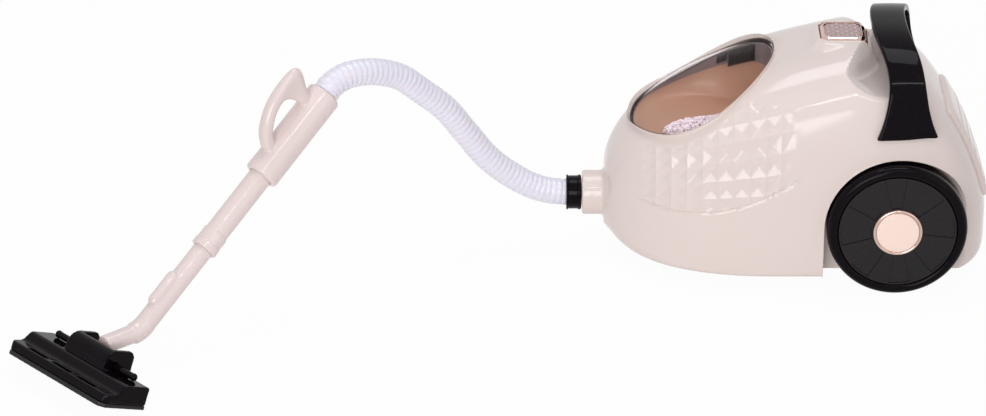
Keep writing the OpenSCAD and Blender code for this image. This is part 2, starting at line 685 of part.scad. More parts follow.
// Batteries in their bay
module batteries() color([0.55, 0.45, 0.25]) at_canister() for (k = [-1:1])
    translate([0, k * cell_pitch, 0]) {
        along_x(cell_x - battery_l / 2, cell_z) cylinder(d = battery_d, h = battery_l - 1.2, $fn = 48);
        along_x(cell_x + battery_l / 2 - 1.3, cell_z) cylinder(r = 2.7, h = 1.3, $fn = 32);
    }
module battery_contacts() color(steel) at_canister() for (side = [-1, 1])
    translate([cell_x + side * (battery_l / 2 + contact_t / 2 + 0.1) - contact_t / 2,
        -bay_w / 2 + 0.2, floor_z + 0.2])
        cube([contact_t, bay_w - 0.4, battery_d * 0.68]);
module battery_door() color(black) at_canister() difference() {
    translate([cell_x - door_l / 2, -door_w / 2, ground_gap]) cube([door_l, door_w, door_t]);
    translate([door_screw_x, 0, 0]) cylinder(r = screw_r + loose, h = floor_z + 1, $fn = 24);
    translate([door_screw_x, 0, 0]) cylinder(r = head_r + loose, h = ground_gap + door_head, $fn = 24);
    for (k = [-3:3]) translate([cell_x - 20, 3 * k, ground_gap - 0.1]) cube([10, 1.2, 0.7]);
}
module door_screw() color(steel) at_canister() translate([door_screw_x, 0, ground_gap]) {
    cylinder(r = head_r, h = door_head - 0.05, $fn = 24);
    cylinder(r = screw_r, h = 8, $fn = 20);
}

// Rear axle and wheels
hub_r = 6.5;
hub_l = wheel_w - 4.5;
clip_t = 1;
axle_half = wheel_in_y + hub_l + clip_t + 1.4;
rim_r = disc_d / 2 + 0.2;
disc_t = 2.5;
disc_low = wheel_w - disc_t - 0.4;
edge = 3.2;
cap_rise = 1.2;
sector_count = 16;
sector_cut = 0.9;
sector_turn = -7;
module rear_axle() color(steel) at_canister() along_y(-axle_half)
    cylinder(d = axle_d, h = 2 * axle_half, $fn = 48);
module axle_bushes() color([0.85, 0.85, 0.85]) at_canister() for (side = [-1, 1]) scale([1, side, 1])
    along_y(well_y - wall - 2.4) difference() {
        union() {
            cylinder(r = bush_r, h = wall + 2.4 + well_gap - loose, $fn = 48);
            cylinder(r = bush_r + 2, h = 2.3, $fn = 48);
        }
        translate([0, 0, -1]) cylinder(r = axle_d / 2 + slim, h = 20, $fn = 48);
    }
module axle_clips() color(steel) at_canister() for (side = [-1, 1]) scale([1, side, 1])
    along_y(wheel_in_y + hub_l + loose) difference() {
        cylinder(r = axle_d / 2 + 2.6, h = clip_t, $fn = 40);
        translate([0, 0, -1]) cylinder(r = axle_d / 2 + 0.01, h = 4, $fn = 48);
    }
module at_wheel(side) at_canister() scale([1, side, 1]) along_y(wheel_in_y) children();
module rim() rotate_extrude($fn = 96) polygon(concat(
    [[axle_d / 2 + slim, 0], [hub_r, 0], [hub_r, 7], [rim_r - 4, 7], [rim_r - 1, 0.6], [wheel_r - edge, 0]],
    [for (k = [1:5]) [wheel_r - edge + edge * sin(18 * k), edge - edge * cos(18 * k)]],
    [for (k = [0:4]) [wheel_r - edge + edge * cos(18 * k), wheel_w - edge + edge * sin(18 * k)]],
    [[wheel_r - edge, wheel_w], [rim_r + 0.8, wheel_w], [rim_r, wheel_w - 0.8], [rim_r, disc_low],
        [rim_r - 3.5, disc_low], [rim_r - 3.5, 10], [hub_r, 10], [hub_r, hub_l],
        [axle_d / 2 + slim, hub_l]]));
module face_disc() difference() {
    translate([0, 0, disc_low]) cylinder(d = disc_d, h = disc_t, $fn = 96);
    translate([0, 0, disc_low - 1]) cylinder(r = 8, h = 6, $fn = 48);
    for (k = [0:sector_count / 2 - 1]) rotate([0, 0, sector_turn + 720 * k / sector_count])
        translate([0, 0, disc_low + disc_t - sector_cut]) linear_extrude(3) polygon(concat(
            [for (j = [0:4]) 10 * [cos(j * 90 / sector_count), sin(j * 90 / sector_count)]],
            [for (j = [4:-1:0]) (disc_d / 2 - 0.8)
                * [cos(j * 90 / sector_count), sin(j * 90 / sector_count)]]));
}
module hub_cap() rotate_extrude($fn = 64) polygon(concat(
    [[6.4, disc_low + 0.1], [7.9, disc_low + 0.1], [7.9, disc_low + disc_t], [cap_d / 2, disc_low + disc_t]],
    [for (k = [0:8]) let (r = cap_d / 2 * cos(11.25 * k))
        [k == 8 ? 0 : r, disc_low + disc_t + 0.6 + cap_rise * sin(11.25 * k)]],
    [[0, disc_low + disc_t], [6.4, disc_low + disc_t]]));
module wheel_left_rim() color(black) at_wheel(-1) rim();
module wheel_left_disc() color(satin_black) at_wheel(-1) face_disc();
module wheel_left_cap() color(rose_gold) at_wheel(-1) hub_cap();
module wheel_right_rim() color(black) at_wheel(1) rim();
module wheel_right_disc() color(satin_black) at_wheel(1) face_disc();
module wheel_right_cap() color(rose_gold) at_wheel(1) hub_cap();

// Front caster, hidden in a socket under the body
fork_z = ground_gap + socket_h - 0.6;
fork_t = 2.4;
fork_r = 7;
stem_d = 6;
caster_pin_d = 2.5;
cheek_t = 2;
roller_r = roller_d / 2;
module at_caster() at_canister() translate([caster_x, 0, 0]) children();
module caster_socket() color(black) at_caster() difference() {
    union() {
        translate([0, 0, ground_gap]) cylinder(r = socket_r + socket_wall, h = socket_h + 2, $fn = 64);
        translate([0, 0, ground_gap + socket_h]) cylinder(d = stem_d + 6, h = 9, $fn = 48);
        translate([0, 0, floor_z + snug]) cylinder(r = socket_r + socket_wall + 2, h = 2, $fn = 64);
    }
    translate([0, 0, ground_gap - 1]) cylinder(r = socket_r, h = socket_h + 1, $fn = 64);
    cylinder(d = stem_d + 2 * slim, h = 60, $fn = 48);
}
module caster_fork() color(satin_black) at_caster() difference() {
    union() {
        translate([0, 0, fork_z - fork_t]) cylinder(r = fork_r, h = fork_t, $fn = 48);
        translate([0, 0, fork_z - 0.2]) cylinder(d = stem_d, h = 10.6, $fn = 48);
        translate([0, 0, fork_z + 10.2]) cylinder(d = stem_d + 3, h = 1.4, $fn = 48);
        for (side = [-1, 1])
            translate([-2, side * (roller_w / 2 + 0.4 + cheek_t / 2) - cheek_t / 2, roller_r - 3])
            cube([caster_trail + 5, cheek_t, fork_z - roller_r + 3 - 0.2]);
    }
    translate([caster_trail, 0, roller_r]) rotate([90, 0, 0])
        cylinder(d = caster_pin_d + 0.02, h = 30, center = true, $fn = 32);
}
module caster_pin() color(steel) at_caster() translate([caster_trail, 0, roller_r]) rotate([90, 0, 0])
    cylinder(d = caster_pin_d, h = roller_w + 0.8 + 2 * cheek_t, center = true, $fn = 32);
module caster_roller() color(black) at_caster()
    translate([caster_trail, 0, roller_r]) rotate([90, 0, 0]) difference() {
        cylinder(r = roller_r, h = roller_w, center = true, $fn = 64);
        cylinder(d = caster_pin_d + 2 * slim, h = roller_w + 2, center = true, $fn = 32);
    }

// Hose inlet and cuff on the axis of the nose
spigot_x = nose_x - spigot_l;
sleeve_r = 9;
cuff_x = spigot_x - cuff_l;
cuff_r = 10.75;
bead_r = 11.3;
hose_r = hose_d / 2;
sock_r = hose_r + 0.2;
sock_l = 7;
module hose_inlet() color(cream) at_canister() along_x(0, inlet_h) rotate_extrude($fn = 72) polygon([
    [sleeve_r + slim, spigot_x], [spigot_d / 2 - 0.8, spigot_x], [spigot_d / 2, spigot_x + 0.8],
    [spigot_d / 2, nose_x + wall + snug], [spigot_d / 2 + 2, nose_x + wall + snug],
    [spigot_d / 2 + 2, nose_x + wall + 2], [sleeve_r + slim, nose_x + wall + 2]]);
module hose_cuff() color(black) at_canister() along_x(0, inlet_h) rotate_extrude($fn = 72) polygon([
    [hose_bore / 2, nose_x - 1], [sleeve_r, nose_x - 1], [sleeve_r, spigot_x - loose],
    [bead_r, spigot_x - loose], [bead_r, spigot_x - 2.2], [cuff_r, spigot_x - 2.8], [cuff_r, cuff_x + 2.4],
    [bead_r, cuff_x + 1.8], [bead_r, cuff_x + 0.4], [bead_r - 0.4, cuff_x], [sock_r, cuff_x],
    [sock_r, cuff_x + sock_l], [hose_bore / 2, cuff_x + sock_l]]);

// Wand: the pin of the nozzle is its origin, then the neck, the elbow and the sloping tubes
pin_a = nozzle_w - 5.5;
pin_b = nozzle_h + pin_d / 2 + loose;
pivot_x = -492;
pivot_y = -190;
pivot_z = pin_b * cos(nozzle_tilt) + (nozzle_w - pin_a) * sin(nozzle_tilt);
wand_turn = 42;
neck_l = 33;
neck_up = 5;
bend_r = 16;
bend_t = bend_r * tan(wand_slope / 2);
collar_s = lower_l;
upper_s = collar_s + collar_l;
grip_s = upper_s + upper_l;
top_s = grip_s + grip_l;
lower_in = 35;
upper_in = 12;
module at_wand() at_canister() translate([pivot_x, pivot_y, pivot_z]) rotate([0, 0, wand_turn]) children();
module at_tube(s) at_wand() translate([neck_l, 0, neck_up]) rotate([0, -wand_slope, 0])
    translate([s, 0, 0]) children();
module pipe(d, l) rotate([0, 90, 0]) cylinder(d = d, h = l, $fn = 64);
function wand_point(s) = let (r = neck_l + s * cos(wand_slope)) [pivot_x + r * cos(wand_turn),
    pivot_y + r * sin(wand_turn), pivot_z + neck_up + s * sin(wand_slope)];

// Loop grip outline: distance along the handle and height over its axis
loop_out = [[10, 6], [14, 13], [22, 22], [32, 30], [41, 33.6], [49, 35], [56, 35.2], [62, 34.2], [65, 31],
    [65.4, 27], [64, 21.5], [60.5, 17], [59, 13], [60, 9], [60, 6]];
loop_in = [[24, 6], [25.5, 12], [30, 19.5], [35, 24.4], [40, 26.3], [44.5, 25.6], [48.6, 22.6], [49.8, 18.5],
    [49, 13], [49, 6]];
module wand_handle() color(cream) difference() {
    union() {
        at_tube(grip_s) rotate_extrude_x([[0, 0], [grip_d / 2 - 1.4, 0], [grip_d / 2 - 0.4, 0.5],
            [grip_d / 2, 1.6], [grip_d / 2, grip_l - 1.6], [grip_d / 2 - 0.4, grip_l - 0.5],
            [grip_d / 2 - 1.4, grip_l], [0, grip_l]]);
        at_tube(grip_s) rotate([90, 0, 0]) linear_extrude(loop_w, center = true) difference() {
            polygon(loop_out);
            polygon(loop_in);
        }
    }
    at_tube(grip_s - 1) pipe(upper_d + 2 * slim, upper_in + 1);
    at_tube(grip_s - 1) pipe(hose_bore, grip_l + 2);
    at_tube(top_s - sock_l) pipe(2 * sock_r, sock_l + 1);
}
module rotate_extrude_x(outline) rotate([0, 90, 0]) rotate_extrude($fn = 72) polygon(outline);
module upper_tube() color(cream) difference() {
    at_tube(upper_s - 6) pipe(upper_d, 6 + upper_l + upper_in - loose);
    at_tube(upper_s - 7) pipe(lower_d + 2 * slim, upper_l + upper_in + 20);
}
module tube_collar() color(cream) difference() {
    at_tube(collar_s) rotate_extrude_x([[0, 0], [collar_d / 2 - 0.6, 0], [collar_d / 2, 0.8],
        [collar_d / 2, 5], [collar_d / 2 - 0.4, 5.4], [collar_d / 2 - 0.4, collar_l - 1],
        [collar_d / 2 - 0.9, collar_l], [0, collar_l]]);
    at_tube(collar_s - 1) pipe(lower_d + 2 * slim, 40);
    at_tube(upper_s - 6.1) pipe(upper_d + 2 * slim, 20);
}
knuckle_r = pin_d / 2 + 2.4;
knuckle_l = hood_w - 8 - 2 * loose;
neck_d = 11.6;
lug_s = 16;
lug_l = 26;
lug_r = 4;
lug_up = 6;
module lower_tube() color(cream) difference() {
    union() {
        at_tube(bend_t - 0.6) pipe(lower_d, collar_s + lower_in - bend_t + 0.6);
        at_wand() translate([neck_l - bend_t, 0, neck_up + bend_r]) rotate([90, 0, 0]) rotate([0, 0, -90])
            rotate_extrude(angle = wand_slope, $fn = 96) translate([bend_r, 0])
            circle(d = lower_d + 0.5, $fn = 64);
        at_wand() translate([6, 0, neck_up]) pipe(neck_d, neck_l - bend_t - 5.4);
        at_wand() rotate([90, 0, 0]) cylinder(r = knuckle_r, h = knuckle_l, center = true, $fn = 48);
        at_wand() translate([0, -5, -1.5]) cube([10, 10, knuckle_r + 1]);
        at_tube(lug_s) translate([0, 0, lug_up]) rotate_extrude_x(concat(
            [for (k = [0:5]) lug_r * [sin(18 * k), 1 - cos(18 * k)]],
            [for (k = [5:-1:0]) [0, lug_l] + lug_r * [sin(18 * k), cos(18 * k) - 1]]));
    }
    at_tube(10) pipe(lower_d - 3, 200);
    at_wand() rotate([90, 0, 0]) cylinder(d = pin_d + 2 * slim, h = 60, center = true, $fn = 48);
}

// Hose: route points chosen by hand, drawn from the wand to the cuff; ends follow the wand and the cuff
route_mid = [[-342, -56.5, 143], [-328, -47, 141], [-312, -36, 133], [-298.5, -28, 120], [-283, -20, 103.5],
    [-269.5, -14, 83.5], [-255.5, -9, 63.5], [-238, -4, 47.5], [-222, -1.5, 38.6]];
wand_home = [-356.4, -68, 135.3];
cuff_home = [-206, 0, 35.5];
wand_shift = wand_point(top_s) - wand_home;
cuff_shift = [cuff_x, 0, inlet_h] - cuff_home;
route_n = len(route_mid);
route = concat([wand_point(top_s - sock_l + loose), wand_point(top_s), wand_point(top_s + 8)],
    [for (k = [0:route_n - 1]) route_mid[k] + wand_shift * pow(1 - k / route_n, 2)
        + cuff_shift * pow((k + 1) / route_n, 2)],
    [[cuff_x, 0, inlet_h], [cuff_x + sock_l - loose, 0, inlet_h]]);
function route_at(t) = let (
    m = len(route), i = min(m - 2, floor(t)), u = t - i,
    a = route[max(0, i - 1)], b = route[i], c = route[i + 1], d = route[min(m - 1, i + 2)])
    0.5 * (2 * b + (c - a) * u + (2 * a - 5 * b + 4 * c - d) * u * u + (3 * b - a - 3 * c + d) * u * u * u);
trace_n = 200;
trace = [for (k = [0:trace_n]) route_at(k * (len(route) - 1) / trace_n)];
function run(k, total) = k > trace_n ? [] : let (d = k == 0 ? 0 : norm(trace[k] - trace[k - 1]))
    concat([total + d], run(k + 1, total + d));
trace_run = run(0, 0);
hose_l = trace_run[trace_n];
trace_key = [for (k = [0:trace_n]) [trace_run[k], k * (len(route) - 1) / trace_n]];
function hose_point(s) = route_at(lookup(s, trace_key));
function hose_dir(s) = let (v = hose_point(min(hose_l, s + 0.5)) - hose_point(max(0, s - 0.5))) v / norm(v);
hose_sides = 8;
function hose_ring(s, r) = let (
    t = hose_dir(s), v = cross(t, [0, 1, 0]), n = v / norm(v), b = cross(t, n), p = hose_point(s))
    [for (j = [0:hose_sides - 1]) p + r * (n * cos(360 * j / hose_sides) + b * sin(360 * j / hose_sides))];
end_l = sock_l - 2 * loose;
rib_pitch = (hose_l - 2 * end_l) / rib_count;
hose_outer = concat([[0, hose_r - rib_h], [end_l, hose_r - rib_h]],
    [for (k = [0:rib_count - 1]) each [[end_l + (k + 0.5) * rib_pitch, hose_r],
        [end_l + (k + 1) * rib_pitch, hose_r - rib_h]]],
    [[hose_l, hose_r - rib_h]]);
bore_n = 30;
module hose() color([0.85, 0.83, 0.86]) at_canister() {
    n = hose_sides;
    out = [for (q = hose_outer) hose_ring(q[0], q[1])];
    bore = [for (k = [bore_n:-1:0]) hose_ring(hose_l * k / bore_n, hose_bore / 2)];
    hoop_rings = concat(out, bore);
    m = len(hoop_rings);
    polyhedron(points = [for (r = hoop_rings) each r], convexity = 8,
        faces = [for (i = [0:m - 1], j = [0:n - 1]) let (
            a = i * n + j, b = i * n + (j + 1) % n,
            c = ((i + 1) % m) * n + j, e = ((i + 1) % m) * n + (j + 1) % n)
            each [[a, c, e], [a, e, b]]]);
}

// Nozzle: distance from its front edge along x, its length along y, height over its sole along z
base_t = 2.8;
ledge_h = 8.2;
ridge_a = nozzle_w / 2;
skin_t = 1.8;
cheek_w = 4;
cheek_back = nozzle_w + 8;
hood_top = nozzle_h + hood_h;
hood_line = [for (k = [0:5]) [ridge_a + 10.2 - 8.2 * cos(18 * k), hood_top - 10 + 10 * sin(18 * k)]];
slot_l = 18;
slot_pitch = 24;
corner = 8;
nozzle_posts = [[8, 0.36], [nozzle_w - 5, 0.38]];
module at_nozzle() at_wand() rotate([0, nozzle_tilt, 0]) translate([-pin_a, 0, -pin_b]) children();
module side_view(outline, w) rotate([90, 0, 0]) linear_extrude(w, center = true) polygon(outline);
module nozzle_plan(grow) polygon([[grow, -nozzle_l / 2 + corner * 0.5], [corner * 0.5, -nozzle_l / 2 - grow],
    [nozzle_w - grow, -nozzle_l / 2 - grow], [nozzle_w - grow, nozzle_l / 2 + grow],
    [corner * 0.5, nozzle_l / 2 + grow], [grow, nozzle_l / 2 - corner * 0.5]]);
top_line = [[1.4, ledge_h - 0.8], [2.4, ledge_h],
    [ridge_a - 7.5, ledge_h + 0.4], [ridge_a - 5.5, ledge_h + 1.3],
    [ridge_a - 2.2, nozzle_h - 0.9], [ridge_a - 0.4, nozzle_h], [nozzle_w - 0.8, nozzle_h]];
module nozzle_top() color(black) at_nozzle() difference() {
    union() {
        difference() {
            intersection() {
                side_view(concat([[0.6, base_t]], top_line,
                    [[nozzle_w, nozzle_h - 1], [nozzle_w, base_t]]), nozzle_l);
                linear_extrude(40) nozzle_plan(0);
            }
            side_view(concat([[0.6 + skin_t, 0]], [for (p = top_line) [p[0] < ridge_a - 6 ? p[0] + skin_t
                : min(p[0] + 0.8, nozzle_w - skin_t), p[1] - skin_t]], [[nozzle_w - skin_t, 0]]),
                nozzle_l - 2 * skin_t - corner);
        }
        for (p = nozzle_posts, side = [-1, 1]) translate([p[0], side * p[1] * nozzle_l, base_t])
            cylinder(r = 2.6, h = (p[0] < ridge_a ? ledge_h : nozzle_h) - base_t - 0.5, $fn = 24);
        for (side = [-1, 1]) translate([0, side * (hood_w - cheek_w) / 2, 0]) side_view(concat(
            [[ridge_a + 2, nozzle_h - 1]], hood_line, [[cheek_back - 2.4, hood_top],
            [cheek_back, hood_top - 3], [cheek_back, nozzle_h - 3.8],
            [nozzle_w - 0.5, nozzle_h - 3.8], [nozzle_w - 0.5, nozzle_h - 1]]), cheek_w);
        side_view(concat([[ridge_a + 2, nozzle_h - 1]], hood_line, [[ridge_a + 10.4, hood_top - 1.6]],
            [for (k = [len(hood_line) - 2:-1:0]) hood_line[k] + [2.2, -1]], [[ridge_a + 4.2, nozzle_h - 1]]),
            hood_w - cheek_w);
    }
    translate([pin_a, 0, pin_b]) rotate([90, 0, 0])
        cylinder(d = pin_d + 0.04, h = 2 * nozzle_l, center = true, $fn = 48);
    translate([pin_a, 0, pin_b]) rotate([90, 0, 0])
        cylinder(r = knuckle_r + 0.5, h = knuckle_l + 2 * loose, center = true, $fn = 48);
    for (k = [-1:1]) translate([3.6, k * slot_pitch - slot_l / 2, ledge_h - 3]) cube([3.4, slot_l, 9]);
    for (p = nozzle_posts, side = [-1, 1]) translate([p[0], side * p[1] * nozzle_l, 0])
        cylinder(r = 1.05, h = ledge_h - 2, $fn = 20);
}
module nozzle_base() color(satin_black) at_nozzle() difference() {
    linear_extrude(base_t) nozzle_plan(-0.3);
    translate([10, -nozzle_l * 0.3, -1]) cube([nozzle_w - 18, nozzle_l * 0.6, base_t + 2]);
    for (p = nozzle_posts, side = [-1, 1]) translate([p[0], side * p[1] * nozzle_l, -1]) {
        cylinder(r = 1.3, h = 10, $fn = 20);
        cylinder(r = 2.2, h = 2.2, $fn = 24);
    }
}
module nozzle_screws() color(steel) at_nozzle() for (p = nozzle_posts, side = [-1, 1])
    translate([p[0], side * p[1] * nozzle_l, 0.2]) {
        cylinder(r = 2, h = 1, $fn = 24);
        cylinder(r = 1, h = ledge_h - 3, $fn = 20);
    }
module nozzle_pin() color(black) at_wand() rotate([90, 0, 0]) {
    cylinder(d = pin_d, h = pin_l, center = true, $fn = 48);
    for (side = [-1, 1]) translate([0, 0, side * pin_l / 2]) sphere(d = pin_d + 0.5, $fn = 32);
}

upper_shell();
lower_shell();
window();
window_seal();
bead_tray();
beads();
carry_handle();
rear_panel();
hose_inlet();
power_button();
button_spring();
push_switch();
motor();
motor_shaft();
impeller();
motor_bracket();
bracket_screws();
batteries();
battery_contacts();
battery_door();
door_screw();
shell_screws();
rear_axle();
axle_bushes();
axle_clips();
wheel_left_rim();
wheel_left_disc();
wheel_left_cap();
wheel_right_rim();
wheel_right_disc();
wheel_right_cap();
caster_socket();
caster_fork();
caster_pin();
caster_roller();
hose_cuff();
hose();
wand_handle();
upper_tube();
tube_collar();
lower_tube();
nozzle_top();
nozzle_base();
nozzle_pin();
nozzle_screws();
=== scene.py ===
"""Looks of a toy vacuum cleaner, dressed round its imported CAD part.

The canister with its window, strap, button and wheels, the ribbed hose and the wand with its
floor nozzle are made here as fine meshes on the sizes of the CAD part. Lengths are millimetres
from the floor point under the rear axle and become metres of the part's frame in each mesh.
"""

import logging
import math
from dataclasses import dataclass
from enum import Enum
from typing import Callable, Optional, Sequence, Union

import bmesh
import bpy
import numpy as np
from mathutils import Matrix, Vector


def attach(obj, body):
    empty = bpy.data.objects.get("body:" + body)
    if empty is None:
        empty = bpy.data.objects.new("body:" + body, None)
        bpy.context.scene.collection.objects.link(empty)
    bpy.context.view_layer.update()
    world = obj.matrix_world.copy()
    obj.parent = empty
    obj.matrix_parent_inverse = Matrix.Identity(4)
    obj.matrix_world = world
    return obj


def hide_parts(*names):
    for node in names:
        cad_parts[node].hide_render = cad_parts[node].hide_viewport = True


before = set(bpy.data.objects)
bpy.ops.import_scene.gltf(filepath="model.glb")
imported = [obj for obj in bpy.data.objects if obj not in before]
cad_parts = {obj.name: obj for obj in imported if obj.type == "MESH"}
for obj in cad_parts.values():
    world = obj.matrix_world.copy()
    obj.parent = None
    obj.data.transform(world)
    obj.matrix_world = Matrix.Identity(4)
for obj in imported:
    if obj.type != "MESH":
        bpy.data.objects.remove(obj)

LOG = logging.getLogger("toy_vacuum")
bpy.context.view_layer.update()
AXLE_PLACE = np.array([242.0, 84.0, 0.0])
MM = 0.001

Field = Callable[[np.ndarray], np.ndarray]
RowStep = Callable[[np.ndarray, np.ndarray], np.ndarray]
Input = Union[bpy.types.NodeSocket, float]
Pair = tuple[float, float]
MADE: dict[str, bpy.types.Material] = {}


class Slot(Enum):
    """Material slots of the part's record."""

    CREAM = "cream"
    SMOKED = "smoked"
    SEAL = "seal"
    TRAY = "tray"
    BEAD = "bead"
    BLACK_GLOSS = "black_gloss"
    BLACK_SATIN = "black_satin"
    ROSE_GOLD = "rose_gold"
    STEEL = "steel"
    INNER = "inner_plastic"
    BATTERY = "battery"
    HOSE = "hose_white"


class Body(Enum):
    """Moving bodies of the part."""

    CANISTER = "canister"
    BUTTON = "button"
    WHEEL_LEFT = "wheel_left"
    WHEEL_RIGHT = "wheel_right"
    HOSE_AND_GRIP = "hose_and_grip"
    LOWER_WAND = "lower_wand"
    NOZZLE = "nozzle"


def to_part(points: np.ndarray) -> np.ndarray:
    """Millimetres from the axle to metres of the part's frame."""
    return (np.asarray(points, float) + AXLE_PLACE) * MM


def unit(v: np.ndarray) -> np.ndarray:
    """Vectors of length one along the last axis."""
    return v / np.maximum(np.linalg.norm(v, axis=-1, keepdims=True), 1e-9)


def smooth_min(a: np.ndarray, b: np.ndarray, k: float) -> np.ndarray:
    """The lower of two heights, with a rounded corner of size k."""
    h = np.maximum(k - np.abs(a - b), 0.0) / k
    return np.minimum(a, b) - h * h * k / 4


def smooth_max(a: np.ndarray, b: np.ndarray, k: float) -> np.ndarray:
    """The higher of two heights, with a rounded corner of size k."""
    return -smooth_min(-a, -b, k)


def ease(value: np.ndarray, low: float, high: float) -> np.ndarray:
    """0 below low, 1 above high and a smooth step between them."""
    t = np.clip((value - low) / (high - low), 0.0, 1.0)
    return t * t * (3 - 2 * t)


def linear(colour: Sequence[float]) -> tuple[float, float, float, float]:
    """A colour of 0 to 255 as Blender's linear colour."""
    c = [v / 255 for v in colour]
    return tuple(v / 12.92 if v <= 0.04045 else ((v + 0.055) / 1.055) ** 2.4 for v in c) + (1.0,)


# Shader groups and finishes

def new_group(
        name: str, inputs: Sequence[tuple[str, str, float]], outputs: Sequence[tuple[str, str]],
) -> tuple[bpy.types.NodeTree, bpy.types.Node, bpy.types.Node]:
    """An empty shader group with its sockets.

    Args:
        name: The group's name.
        inputs: Name, socket type and default of each input.
        outputs: Name and socket type of each output.

    Returns:
        The group, its input node and its output node.
    """
    tree = bpy.data.node_groups.new(name, "ShaderNodeTree")
    for label, kind, default in inputs:
        socket = tree.interface.new_socket(name=label, in_out="INPUT", socket_type=kind)
        if kind == "NodeSocketFloat":
            socket.default_value = default
    for label, kind in outputs:
        tree.interface.new_socket(name=label, in_out="OUTPUT", socket_type=kind)
    return tree, tree.nodes.new("NodeGroupInput"), tree.nodes.new("NodeGroupOutput")


def math_node(tree: bpy.types.NodeTree, operation: str, a: Input, b: Optional[Input] = None,
              clamp: bool = False) -> bpy.types.NodeSocket:
    """One Math node on sockets or numbers.

    Args:
        tree: The node tree.
        operation: The node's operation.
        a: First socket or number.
        b: Second socket or number.
        clamp: Keeps the result from 0 to 1.

    Returns:
        The node's output socket.
    """
    node = tree.nodes.new("ShaderNodeMath")
    node.operation = operation
    node.use_clamp = clamp
    for socket, value in zip(node.inputs, (a, b)):
        if value is None:
            continue
        if isinstance(value, (int, float)):
            socket.default_value = value
        else:
            tree.links.new(value, socket)
    return node.outputs[0]


def noise_node(tree: bpy.types.NodeTree, vector: bpy.types.NodeSocket, scale: Input,
               detail: float = 2.0) -> bpy.types.NodeSocket:
    """One Noise Texture node.

    Args:
        tree: The node tree.
        vector: Socket of the place.
        scale: Socket or number.
        detail: Octaves of the noise.

    Returns:
        The node's value socket.
    """
    node = tree.nodes.new("ShaderNodeTexNoise")
    node.inputs["Detail"].default_value = detail
    tree.links.new(vector, node.inputs["Vector"])
    if isinstance(scale, (int, float)):
        node.inputs["Scale"].default_value = scale
    else:
        tree.links.new(scale, node.inputs["Scale"])
    return node.outputs[0]


class ShaderGroups:
    """Effects that several finishes share, each built once."""

    _made: dict[str, bpy.types.NodeTree] = {}

    @classmethod
    def moulded_skin(cls) -> bpy.types.NodeTree:
        """Cloudy tint, uneven gloss, moulding peel and dust specks of a plastic skin.

        Returns:
            The group.
        """
        if "moulded_skin" in cls._made:
            return cls._made["moulded_skin"]
        tree, inp, out = new_group(
            "moulded_skin",
            [("Colour", "NodeSocketColor", 0), ("Roughness", "NodeSocketFloat", 0.3),
             ("Mottle", "NodeSocketFloat", 0.1), ("Peel Scale", "NodeSocketFloat", 300.0),
             ("Dust", "NodeSocketFloat", 0.0)],
            [("Colour", "NodeSocketColor"), ("Roughness", "NodeSocketFloat"), ("Height", "NodeSocketFloat")])
        place = tree.nodes.new("ShaderNodeTexCoord").outputs["Object"]
        cloud = noise_node(tree, place, 24.0, 3.0)
        peel = noise_node(tree, place, inp.outputs["Peel Scale"], 2.0)
        speck = math_node(tree, "SUBTRACT", noise_node(tree, place, 1700.0, 0.0), 0.74)
        speck = math_node(tree, "MULTIPLY", speck, 18.0, True)
        dust = math_node(tree, "MULTIPLY", speck, inp.outputs["Dust"])
        shade = tree.nodes.new("ShaderNodeMix")
        shade.data_type = "RGBA"
        shade.blend_type = "MULTIPLY"
        tree.links.new(math_node(tree, "MULTIPLY", cloud, inp.outputs["Mottle"]), shade.inputs["Factor"])
        tree.links.new(inp.outputs["Colour"], shade.inputs["A"])
        shade.inputs["B"].default_value = linear((226, 205, 196))
        dusted = tree.nodes.new("ShaderNodeMix")
        dusted.data_type = "RGBA"
        tree.links.new(dust, dusted.inputs["Factor"])
        tree.links.new(shade.outputs["Result"], dusted.inputs["A"])
        dusted.inputs["B"].default_value = linear((150, 145, 145))
        tree.links.new(dusted.outputs["Result"], out.inputs["Colour"])
        uneven = math_node(tree, "MULTIPLY", math_node(tree, "SUBTRACT", cloud, 0.5), inp.outputs["Mottle"])
        rough = math_node(tree, "ADD", inp.outputs["Roughness"], uneven)
        rough = math_node(tree, "ADD", rough, math_node(tree, "MULTIPLY", dust, 0.4), True)
        tree.links.new(rough, out.inputs["Roughness"])
        tree.links.new(peel, out.inputs["Height"])
        cls._made["moulded_skin"] = tree
        return tree

    @classmethod
    def spun_metal(cls) -> bpy.types.NodeTree:
        """Fine turning rings round an axis along Y, with slightly uneven gloss.

        Returns:
            The group.
        """
        if "spun_metal" in cls._made:
            return cls._made["spun_metal"]
        tree, inp, out = new_group(
            "spun_metal",
            [("Centre", "NodeSocketVector", 0), ("Pitch", "NodeSocketFloat", 2600.0),
             ("Roughness", "NodeSocketFloat", 0.3)],
            [("Roughness", "NodeSocketFloat"), ("Height", "NodeSocketFloat")])
        place = tree.nodes.new("ShaderNodeTexCoord").outputs["Object"]
        arm = tree.nodes.new("ShaderNodeVectorMath")
        arm.operation = "SUBTRACT"
        tree.links.new(place, arm.inputs[0])
        tree.links.new(inp.outputs["Centre"], arm.inputs[1])
        flat = tree.nodes.new("ShaderNodeVectorMath")
        flat.operation = "MULTIPLY"
        tree.links.new(arm.outputs[0], flat.inputs[0])
        flat.inputs[1].default_value = (1.0, 0.0, 1.0)
        length = tree.nodes.new("ShaderNodeVectorMath")
        length.operation = "LENGTH"
        tree.links.new(flat.outputs[0], length.inputs[0])
        turn = math_node(tree, "MULTIPLY", length.outputs["Value"], inp.outputs["Pitch"])
        tree.links.new(math_node(tree, "SINE", turn), out.inputs["Height"])
        cloud = math_node(tree, "SUBTRACT", noise_node(tree, place, 140.0, 3.0), 0.5)
        uneven = math_node(tree, "MULTIPLY", cloud, 0.12)
        rough = math_node(tree, "ADD", inp.outputs["Roughness"], uneven, True)
        tree.links.new(rough, out.inputs["Roughness"])
        cls._made["spun_metal"] = tree
        return tree


